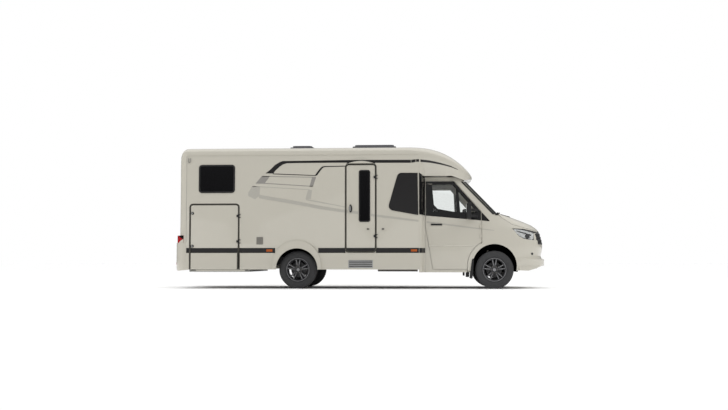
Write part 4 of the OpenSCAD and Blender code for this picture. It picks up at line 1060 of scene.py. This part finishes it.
class MOTORHOME_OT_ends(bpy.types.Operator):
    """Lamps, dark fields and fittings of the nose and the rear."""

    bl_idname = "motorhome.ends"
    bl_label = "Front and rear"

    def fit_lamps(self, side):
        """The insides of one headlamp."""
        name = SIDE_NAME[side]
        lens = surface(["headlamps"], side)
        bezel = columns(BEZEL, 4)

        def inside(rows, depths):
            return draped(rows, lens, side, -depths[0], depths[1])

        add_piece("lamp_bezel_" + name, [inside(bezel, BEZEL_DEPTH)], "body", lamp_bezel())
        black_trim("lamp_housing_" + name, [inside(bezel, HOUSING_DEPTH)])
        black_field("lamp_projector_" + name, [inside(film_rows(finer(LAMP_LINE)), LINE_DEPTH),
                                               inside(disc_grid(*PROJECTOR), PROJECTOR_DEPTH)])

    def fit_nose(self, side):
        """The grille's wing, the lamp's end piece and the parking sensor of one side."""
        name = SIDE_NAME[side]
        nodes = ["headlamps", "front_bumper", "grille"]
        nose, ahead = surface(nodes, side), surface(nodes, 1, axis=0)
        across = steps_between(side * WING_INNER_Y, nose(*WING_OUTER_AT), 12)
        low, high = WING_Z
        wing = columns([((y, low), (y, high)) for y in across], 8)
        black_field("grille_wing_" + name, [draped(wing, ahead, 1, WING_PROUD, axis=0)])
        slats = [[[(y, z), (y, z + SLAT_H)] for y in across] for z in SLAT_Z]
        black_trim("wing_slats_" + name, [draped(slat, ahead, 1, SLAT_PROUD, axis=0) for slat in slats])
        low, high = LAMP_END_Z
        gap = columns([((x, low), (x, high)) for x in LAMP_END_X], 6)
        painted("lamp_end_" + name, [draped(gap, nose, side, LAMP_END_PROUD)])
        bumper = surface(["front_bumper"], side)
        black_trim("park_sensor_" + name, [draped(disc_grid(*SENSOR), bumper, side, SENSOR_PROUD)])

    def fit_covers(self, side):
        """The tail lamp's fields and the bonnet's vent of one side."""
        name = SIDE_NAME[side]
        lamp = surface(["tail_lamps"], side)
        black_field("tail_lamp_smoked_" + name, [draped(columns(SMOKED, 3), lamp, side, COVER_PROUD)])
        painted("tail_lamp_cover_" + name, [draped(columns(TAIL_COVER, 3), lamp, side, COVER_PROUD)])
        lid = surface(["bonnet"], 1, axis=2)
        vent = finer([(x, side * y, w) for x, y, w in BONNET_VENT], 0.02)
        black_trim("bonnet_vent_" + name, [draped(film_rows(vent), lid, 1, VENT_PROUD, axis=2)], "bonnet")

    def fit_hinges(self):
        """The bonnet's two hinges."""
        x, z, half = BONNET_PIN_X, BONNET_PIN_Z, BONNET_LEAF_HALF
        (x0, z0), (x1, z1) = BONNET_LEAF
        for side in BOTH:
            y = side * BONNET_HINGE_Y
            black_trim("bonnet_hinge_" + SIDE_NAME[side], [
                rod((x, y - half, z), (x, y + half, z), BONNET_PIN_R),
                cuboid((x + x0, y - half, z + z0), (x + x1, y + half, z + z1))], "bonnet")
            black_trim("cowl_hinge_" + SIDE_NAME[side], [
                cuboid((x + COWL_X[0], y + a, COWL_Z[0]), (x + COWL_X[1], y + b, COWL_Z[1]))
                for a, b in COWL_CHEEKS])

    def fit_wipers(self):
        """Two wipers on the windscreen."""
        screen = surface(["windscreen"], 1, axis=0)
        low, high = BLADE_Z
        makers = []
        for start, end, hub in WIPERS:
            line = [(screen(y, z) + BLADE_OFF, y, z) for y, z in between((start, low), (end, high), 8)]
            makers += [rod(a, b, BLADE_R, 8) for a, b in zip(line, line[1:])]
            makers.append(rod((screen(hub, HUB_Z) + HUB_OFF, hub, HUB_Z), line[len(line) // 2], ARM_R, 8))
        black_trim("wipers", makers)

    def fit_rear_and_chin(self):
        """The third brake lamp, the bumper's chin, the camera and the reflectors."""
        low, high = BRAKE_LAMP_Z
        lamp = cuboid((REAR_FACE_X - BRAKE_LAMP_T, -BRAKE_LAMP_HALF, low),
                      (REAR_FACE_X + SINK, BRAKE_LAMP_HALF, high))
        add_piece("third_brake_lamp", [lamp], "body", red_lens())
        flank = surface(["front_bumper"], LEFT)
        chin = []
        for x, z in finer(CHIN, 0.06):
            w = flank(x, CHIN_WIDTH_Z) - CHIN_INSIDE
            chin.append([(x, -w, z), (x, w, z), (x, w, CHIN_TOP_Z), (x, -w, CHIN_TOP_Z)])
        painted("bumper_chin", [loft(chin)])
        low, high = CAMERA_Z
        black_trim("reversing_camera", [cuboid((REAR_FACE_X - CAMERA_T, -CAMERA_HALF, low),
                                               (REAR_FACE_X + SINK, CAMERA_HALF, high))])
        tail = surface(["rear_bumper"], -1, axis=0)
        low, high = REFLECTOR_Z
        for side in BOTH:
            strip = columns([((side * y, low), (side * y, high)) for y in REFLECTOR_Y], 2)
            add_piece("rear_reflector_" + SIDE_NAME[side], [draped(strip, tail, -1, REFLECTOR_PROUD, axis=0)],
                      "body", red_lens())

    def execute(self, context):
        for side in BOTH:
            self.fit_lamps(side)
            self.fit_nose(side)
            self.fit_covers(side)
        self.fit_hinges()
        self.fit_wipers()
        self.fit_rear_and_chin()
        return {"FINISHED"}


# Engine bay, as opposite corners of boxes
RADIATOR = mm((3335, -460, 600), (3360, 460, 1050))
FIN = mm((3332, -430, 640), (3364, 430, 646))
FIN_PITCH, FINS = 0.030, 13
COVER_RIB = mm((2780, -130, 1119), (2800, 130, 1135))
RIB_PITCH, RIBS = 0.050, 7
COVER_PLATE = (2.765, 1.118, 3.135, 1.127)
COVER_PLATE_R = 0.004
COVER_HALF = 0.145
FILTER_BOX = mm((2850, -520, 625), (3170, -330, 1000))
FILTER_DUCT = mm((3170, -420, 930), (3330, -420, 930))
DUCT_R = 0.045
TANK = mm((2900, 340, 625), (3100, 520, 1000))
TANK_NECK = mm((3000, 430, 1000), (3000, 430, 1030))
NECK_R = 0.040
UNDERTRAY = mm((2880, -530, 395), (3500, 530, 400))
# Strut housing: half length about the axle, inner and outer Y, levels, and sheet thickness
STRUT_HALF = 0.138
STRUT_Y = (0.526, 0.782)
STRUT_TOP_Z = 0.906
STRUT_WALL_Z = 0.42
STRUT_END_Z = 0.872
STRUT_LIP_Z = 0.752
SHEET = 0.006
# Lip between the front arch's liner and the fender: its middle, inner and outer radius, and inner Y
ARCH_Z = TYRE_R + 0.070
LIP_R = (0.452, 0.460)
LIP_INNER_Y = 0.905
LIP_MARGIN = 0.012
LIP_TURNS = (-8, 188)


def arch_lip(side):
    """A maker of the strip that closes the arch liner against the fender's inside."""
    skin = surface(["front_fenders", "front_bumper"], side)
    least_y = 0.9
    sections = []
    for turn in steps_between(*LIP_TURNS, 40):
        a = math.radians(turn)
        (x0, z0), (x1, z1) = [(FRONT_AXLE_X + r * math.cos(a), ARCH_Z + r * math.sin(a)) for r in LIP_R]
        edge = skin(x1, z1)
        if edge is not None and side * edge > least_y:
            inner, outer = side * LIP_INNER_Y, edge - side * LIP_MARGIN
            sections.append([(x0, inner, z0), (x1, inner, z1), (x1, outer, z1), (x0, outer, z0)])
    return loft(sections)


def strut_housing(side):
    """Makers of the five plates around a front strut."""
    rear, front = FRONT_AXLE_X - STRUT_HALF, FRONT_AXLE_X + STRUT_HALF
    inner, outer = STRUT_Y
    top = STRUT_TOP_Z
    plates = [((rear, inner, STRUT_WALL_Z), (front, inner + SHEET, top)),
              ((rear, inner, top - SHEET), (front, outer, top)),
              ((rear, inner, STRUT_END_Z), (rear + SHEET, outer, top)),
              ((front - SHEET, inner, STRUT_END_Z), (front, outer, top)),
              ((rear, outer, STRUT_LIP_Z), (front, outer - SHEET, top))]
    return [mirrored_box(plate, side) for plate in plates]


def repeated(box, axis, pitch, count):
    """Makers of a box repeated along an axis."""
    step = Vector((0.0, 0.0, 0.0))
    step[axis] = pitch
    a, b = [Vector(corner) for corner in box]
    return [cuboid(a + step * k, b + step * k) for k in range(count)]


class MOTORHOME_OT_engine_bay(bpy.types.Operator):
    """Radiator, covers and tank under the bonnet, with the liners that close the bay off from the wheels and
    paint the shade inside the front arches.
    """

    bl_idname = "motorhome.engine_bay"
    bl_label = "Engine bay"

    def execute(self, context):
        add_piece("radiator", [cuboid(*RADIATOR)], "body", chassis_enamel())
        add_piece("radiator_fins", repeated(FIN, 2, FIN_PITCH, FINS), "body", dull_steel())
        plate = slab(rounded_box(COVER_PLATE, 0.0, COVER_PLATE_R), -COVER_HALF, COVER_HALF)
        black_trim("engine_cover", repeated(COVER_RIB, 0, RIB_PITCH, RIBS) + [plate])
        black_trim("air_filter_box", [cuboid(*FILTER_BOX), rod(*FILTER_DUCT, DUCT_R, 24)])
        add_piece("coolant_tank", [cuboid(*TANK), rod(*TANK_NECK, NECK_R, 24)], "body", milky_tank())
        black_trim("undertray", [cuboid(*UNDERTRAY)])
        # Strut housings and arch lips in nearly black felt, which paints the shade inside the front arches
        for side in BOTH:
            lining("strut_housing_" + SIDE_NAME[side], strut_housing(side))
            lining("arch_lip_" + SIDE_NAME[side], [arch_lip(side)])
        return {"FINISHED"}


# Garage latches, as X and radii of the plate and the button, with their heights and how far they stand off
LATCH_X, LATCH_R, LATCH_OFF = -3.264, 0.028, 0.006
BUTTON_X, BUTTON_R, BUTTON_OFF = -3.271, (0.015, 0.017), 0.011
LATCH_Z = (1.475, 0.832)
# Eaves rail and corner seam, as X and Z spans with how far they stand off
RAIL_X, RAIL_Z, RAIL_OFF = (-3.384, 1.174), (2.608, 2.619), 0.006
SEAM_X, SEAM_Z, SEAM_OFF = (-3.391, -3.385), (0.91, 2.60), 0.001
# Apron below the garage, set in from the wall
APRON_X, APRON_Z, APRON_IN = (-3.19, -2.22), (0.344, 0.371), (0.012, 0.10)
# Hook at the rear corner: the outer line down and up, and the inner line back
HOOK = mm((-3362, 2562), (-3362, 2488), (-3348, 2470), (-3325, 2470), (-3310, 2488), (-3310, 2562),
          (-3322, 2562), (-3322, 2495), (-3330, 2484), (-3343, 2484), (-3350, 2495), (-3350, 2562))
HOOK_OFF = 0.012
# Service vent: its plate, and louvres as X span, lowest Z span, pitch and number
VENT_PLATE = (-1.994, 0.862, -1.865, 1.009)
VENT_R, VENT_OFF = 0.01, 0.006
LOUVRE_X, LOUVRE_Z = (-1.985, -1.874), (0.876, 0.886)
LOUVRE_PITCH, LOUVRES = 0.022, 6
LOUVRE_BACK, LOUVRE_OFF = 0.002, 0.012
# Lamp over the entry door: an arc from its rear end, with its length, rise and edge
ARC_X, ARC_Z = -0.225, 2.446
ARC_L, ARC_RISE = 0.555, 0.052
ARC_EDGE = 0.010
DOOR_LAMP_OFF, DOOR_LAMP_EDGE_OFF = 0.026, 0.028
# Catches, handle and grip as X, Z and radii, with how far they start and end off the wall
CATCH_OFF = 0.014
CATCH_ON_WALL = (0.482, 1.160, 0.026, 0.012)
CATCH_ON_DOOR = (0.190, 1.160, 0.026, 0.012)
HANDLE, HANDLE_SPAN = (-0.150, 1.560, 0.032, 0.078), (0.002, 0.018)
GRIP, GRIP_SPAN = (-0.160, 1.560, 0.015, 0.058), (0.014, 0.024)
# Shade behind the entry step: its margins in the step's box, and its depth from the step's front
SHADE_MARGIN_X, SHADE_MARGIN_Z = 0.006, 0.004
SHADE_DEPTH = (0.030, 0.038)


class MOTORHOME_OT_fittings(bpy.types.Operator):
    """Small fittings of the living body: latches, vent, catches, door lamp, step, rails and seams."""

    bl_idname = "motorhome.fittings"
    bl_label = "Fittings"

    def fit_side(self, side):
        """Latches, rail, seam, apron and hook of one side."""
        name = SIDE_NAME[side]
        wall = side * HALF_W
        back = wall - side * SINK
        door = "garage_door_" + name

        def off(distance):
            return wall + side * distance

        black_trim("garage_latches_" + name, [slab(oval(LATCH_X, z, LATCH_R, LATCH_R), back, off(LATCH_OFF))
                                              for z in LATCH_Z], door)
        add_piece("latch_buttons_" + name, [slab(oval(BUTTON_X, z, *BUTTON_R), back, off(BUTTON_OFF))
                                            for z in LATCH_Z], door, extruded_alloy())
        rail = cuboid((RAIL_X[0], back, RAIL_Z[0]), (RAIL_X[1], off(RAIL_OFF), RAIL_Z[1]))
        painted("eaves_rail_" + name, [rail])
        seam = cuboid((SEAM_X[0], back, SEAM_Z[0]), (SEAM_X[1], off(SEAM_OFF), SEAM_Z[1]))
        add_piece("corner_seam_" + name, [seam], "body", mid_grey_film())
        apron = zip(APRON_X, [HALF_W - distance for distance in APRON_IN], APRON_Z)
        painted("rear_apron_" + name, [mirrored_box(apron, side)])
        add_piece("corner_hook_" + name, [slab(HOOK, back, off(HOOK_OFF))],
                  "body", mid_grey_film())

    def execute(self, context):
        for side in BOTH:
            self.fit_side(side)
        face = -HALF_W
        back = face + SINK
        louvre = list(zip(LOUVRE_X, (face - LOUVRE_OFF, face + LOUVRE_BACK), LOUVRE_Z))
        plate = slab(rounded_box(VENT_PLATE, 0.0, VENT_R), back, face - VENT_OFF)
        add_piece("service_vent", [plate] + repeated(louvre, 2, LOUVRE_PITCH, LOUVRES),
                  "body", grey_plastic())
        arc = [(ARC_X + ARC_L * share, ARC_Z + ARC_RISE * math.sin(math.pi * share))
               for share in steps_between(0.0, 1.0, 20)]
        painted("door_lamp", [slab(arc, back, face - DOOR_LAMP_OFF)])
        edge = arc + [(x, z - ARC_EDGE) for x, z in arc[::-1]]
        black_trim("door_lamp_edge", [slab(edge, back, face - DOOR_LAMP_EDGE_OFF)])
        black_trim("door_catch_wall", [slab(oval(*CATCH_ON_WALL), back, face - CATCH_OFF)])
        black_trim("door_catch", [slab(oval(*CATCH_ON_DOOR), back, face - CATCH_OFF)], "entry_door")
        black_trim("entry_handle", [slab(oval(*HANDLE), *[face - span for span in HANDLE_SPAN])],
                   "entry_door")
        add_piece("entry_handle_grip", [slab(oval(*GRIP), *[face - span for span in GRIP_SPAN])],
                  "entry_door", extruded_alloy())
        low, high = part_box("entry_step")
        near, far = [low.y + depth for depth in SHADE_DEPTH]
        black_trim("step_shade", [cuboid((low.x + SHADE_MARGIN_X, near, low.z + SHADE_MARGIN_Z),
                                         (high.x - SHADE_MARGIN_X, far, high.z - SHADE_MARGIN_Z))])
        return {"FINISHED"}


# Wheels: bolt circle and bolts, hub cap, turned edge, and the turned lines along five pairs of spokes
BOLT_CIRCLE_R = 0.065
BOLT_R = 0.011
BOLT_SPAN = (0.005, 0.012)
CAP_R = 0.030
CAP_SPAN = (0.005, 0.004)
EDGE_AT_R = 0.222
EDGE_R = (0.2262, 0.219)
EDGE_SPAN = (0.003, 0.001)
SPOKE_PAIRS = 5
SPOKE_SPREAD = 11
SPOKE_R = (0.088, 0.12, 0.15, 0.18, 0.205)
SPOKE_LINE = (-0.005, 0.0, 0.005)
SPOKE_PROUD = 0.0015


class MOTORHOME_OT_wheels(bpy.types.Operator):
    """Bolts, hub caps and turned edges of the four wheels."""

    bl_idname = "motorhome.wheels"
    bl_label = "Wheels"

    def dress_wheel(self, wheel, x, side):
        """The pieces of one wheel."""
        disc = surface(["rim_" + wheel], side)

        def at(radius, turn, across=0.0):
            """The X and Z of a place on the wheel, by radius, turn and distance beside that radius."""
            sine, cosine = math.sin(turn), math.cos(turn)
            return x + radius * cosine - across * sine, TYRE_R + radius * sine + across * cosine

        def span(place, distances):
            """Two Y places, in from and out from a place on the wheel's face."""
            return place - side * distances[0], place + side * distances[1]

        def pin(place, ends, radius, sides):
            """A maker of a short bar through the wheel's face."""
            return rod(*[(place[0], y, place[1]) for y in ends], radius, sides)

        count = sizes().wheel_bolts
        seat = span(disc(*at(BOLT_CIRCLE_R, 0.0)), BOLT_SPAN)
        bolts = [pin(at(BOLT_CIRCLE_R, 2 * math.pi * k / count), seat, BOLT_R, 6) for k in range(count)]
        add_piece("wheel_bolts_" + wheel, bolts, "wheel_" + wheel, dull_steel())
        rings = [oval(x, TYRE_R, r, r, 64) for r in EDGE_R]
        edge = ring(*rings, *span(disc(*at(EDGE_AT_R, 0.0)), EDGE_SPAN))
        cap = pin((x, TYRE_R), span(disc(x, TYRE_R), CAP_SPAN), CAP_R, 32)
        lines = []
        for pair in range(SPOKE_PAIRS):
            for lean in (-SPOKE_SPREAD, SPOKE_SPREAD):
                turn = math.radians(90 + 360 / SPOKE_PAIRS * pair + lean)
                spoke = [[at(r, turn, across) for across in SPOKE_LINE] for r in SPOKE_R]
                lines.append(draped(spoke, disc, side, SPOKE_PROUD))
        add_piece("wheel_edge_" + wheel, [edge, cap] + lines,
                  "wheel_" + wheel, bright_enamel())

    def execute(self, context):
        for end, x in (("front", FRONT_AXLE_X), ("rear", REAR_AXLE_X)):
            for side in BOTH:
                self.dress_wheel("%s_%s" % (end, SIDE_NAME[side]), x, side)
        return {"FINISHED"}


# Stage: the floor's corners, the soft lamps with place, size and power, and what they face
FLOOR = ((-150, -60, -0.05), (150, 250, -0.0005))
LAMPS = (
    ("soft_top", (0.0, -1.0, 9.0), (12.0, 6.0), 90.0),
    ("soft_front", (8.0, -4.0, 8.0), (5.0, 4.0), 190.0),
    ("soft_rear", (-10.0, -3.0, 6.0), (5.0, 4.0), 170.0),
)
LAMP_TARGET = Vector((0, 0, 1.2))
# The studio's ceiling is brighter than its sides: gain by height and level at the horizon
CEILING = (1.08, 0.3)
CEILING_MIRRORED = (1.15, 0.05)
CAMERA_PLACE = (1.38, -20.745, 0.54)
CAMERA_YAW, CAMERA_PITCH = math.radians(3.7), math.radians(3.17)
CAMERA_LENS, CAMERA_SENSOR = 50.0, 36.0
CAMERA_REACH = 200.0


class MOTORHOME_OT_stage(bpy.types.Operator):
    """Pale floor, soft lamps, world and the camera at the photograph's place."""

    bl_idname = "motorhome.stage"
    bl_label = "Stage"

    def lay_floor(self, scene):
        """The floor that takes the shadow."""
        floor = bpy.data.objects.new("studio_floor", merged([cuboid(*FLOOR)]))
        scene.collection.objects.link(floor)
        floor.data.materials.append(floor_paint())

    def light_world(self, scene):
        """A soft dome, which the camera and the glass see as white."""
        world = bpy.data.worlds.new("studio")
        scene.world = world
        world.use_nodes = True
        tree = world.node_tree
        tree.nodes.clear()
        ray = add_node(tree, "ShaderNodeLightPath")
        clear = add_node(tree, "ShaderNodeMath", {"operation": "MAXIMUM"},
                         {0: ray.outputs["Is Camera Ray"], 1: ray.outputs["Is Transmission Ray"]})
        place = add_node(tree, "ShaderNodeTexCoord")
        height = add_node(tree, "ShaderNodeSeparateXYZ", None, {"Vector": place.outputs["Generated"]})
        ceiling = add_node(tree, "ShaderNodeMath", {
            "operation": "MULTIPLY_ADD", 1: CEILING[0], 2: CEILING[1]}, {0: height.outputs["Z"]})
        mirrored = add_node(tree, "ShaderNodeMath", {
            "operation": "MULTIPLY_ADD", "use_clamp": True, 1: CEILING_MIRRORED[0], 2: CEILING_MIRRORED[1]},
            {0: height.outputs["Z"]})
        lit = add_node(tree, "ShaderNodeMix", {"data_type": "FLOAT"}, {
            "Factor": ray.outputs["Is Glossy Ray"], "A": ceiling.outputs[0], "B": mirrored.outputs[0]})
        level = add_node(tree, "ShaderNodeMix", {"data_type": "FLOAT", "B": 1.0},
                         {"Factor": clear.outputs[0], "A": lit.outputs["Result"]})
        sky = add_node(tree, "ShaderNodeBackground", {"Color": (1, 1, 1, 1)},
                       {"Strength": level.outputs["Result"]})
        add_node(tree, "ShaderNodeOutputWorld", None, {"Surface": sky.outputs[0]})

    def hang_lamps(self, scene):
        """Large soft lamps that neither the camera nor reflections show."""
        for name, place, size, power in LAMPS:
            lamp = bpy.data.lights.new(name, "AREA")
            lamp.shape = "RECTANGLE"
            lamp.size, lamp.size_y = size
            lamp.energy = power * sizes().lamp_level
            obj = bpy.data.objects.new(name, lamp)
            obj.location = place
            obj.rotation_euler = (LAMP_TARGET - Vector(place)).to_track_quat("-Z", "Y").to_euler()
            scene.collection.objects.link(obj)
            obj.visible_camera = False
            obj.visible_glossy = False

    def set_camera(self, scene):
        """The camera at the photograph's viewing angle."""
        lens = bpy.data.cameras.new("side_view")
        lens.lens = CAMERA_LENS
        lens.sensor_width = CAMERA_SENSOR
        lens.clip_end = CAMERA_REACH
        camera = bpy.data.objects.new("side_view", lens)
        camera.location = CAMERA_PLACE
        level = math.cos(CAMERA_PITCH)
        ahead = Vector((-math.sin(CAMERA_YAW) * level, math.cos(CAMERA_YAW) * level, math.sin(CAMERA_PITCH)))
        camera.rotation_euler = ahead.to_track_quat("-Z", "Y").to_euler()
        scene.collection.objects.link(camera)
        scene.camera = camera

    def execute(self, context):
        scene = context.scene
        scene.view_settings.view_transform = "Standard"
        self.lay_floor(scene)
        self.light_world(scene)
        self.hang_lamps(scene)
        self.set_camera(scene)
        return {"FINISHED"}


class MOTORHOME_PT_looks(bpy.types.Panel):
    """Lists the settings and the pieces of the motorhome's looks."""

    bl_idname = "MOTORHOME_PT_looks"
    bl_label = "Motorhome"
    bl_space_type = "VIEW_3D"
    bl_region_type = "UI"
    bl_category = "Motorhome"

    def draw(self, context):
        for group in (context.scene.motorhome_finish, context.scene.motorhome_sizes):
            for key in group.bl_rna.properties.keys():
                if key not in {"rna_type", "name"}:
                    self.layout.prop(group, key)
        for operator in OPERATORS:
            self.layout.operator(operator.bl_idname)


OPERATORS = (
    MOTORHOME_OT_finishes, MOTORHOME_OT_stripes, MOTORHOME_OT_seals, MOTORHOME_OT_cab_side, MOTORHOME_OT_ends,
    MOTORHOME_OT_engine_bay, MOTORHOME_OT_fittings, MOTORHOME_OT_wheels, MOTORHOME_OT_stage)
CLASSES = (MotorhomeFinish, MotorhomeSizes) + OPERATORS + (MOTORHOME_PT_looks,)


def register():
    """Registers the classes and the scene's settings."""
    for item in CLASSES:
        bpy.utils.register_class(item)
    bpy.types.Scene.motorhome_finish = PointerProperty(type=MotorhomeFinish)
    bpy.types.Scene.motorhome_sizes = PointerProperty(type=MotorhomeSizes)


def unregister():
    """Takes the classes and settings away again."""
    del bpy.types.Scene.motorhome_sizes
    del bpy.types.Scene.motorhome_finish
    for item in reversed(CLASSES):
        bpy.utils.unregister_class(item)


def main():
    """Registers the add-on and builds every piece in order."""
    register()
    bpy.ops.motorhome.finishes()
    bpy.ops.motorhome.stripes()
    bpy.ops.motorhome.seals()
    bpy.ops.motorhome.cab_side()
    bpy.ops.motorhome.ends()
    bpy.ops.motorhome.engine_bay()
    bpy.ops.motorhome.fittings()
    bpy.ops.motorhome.wheels()
    bpy.ops.motorhome.stage()


if __name__ == "__main__":
    main()
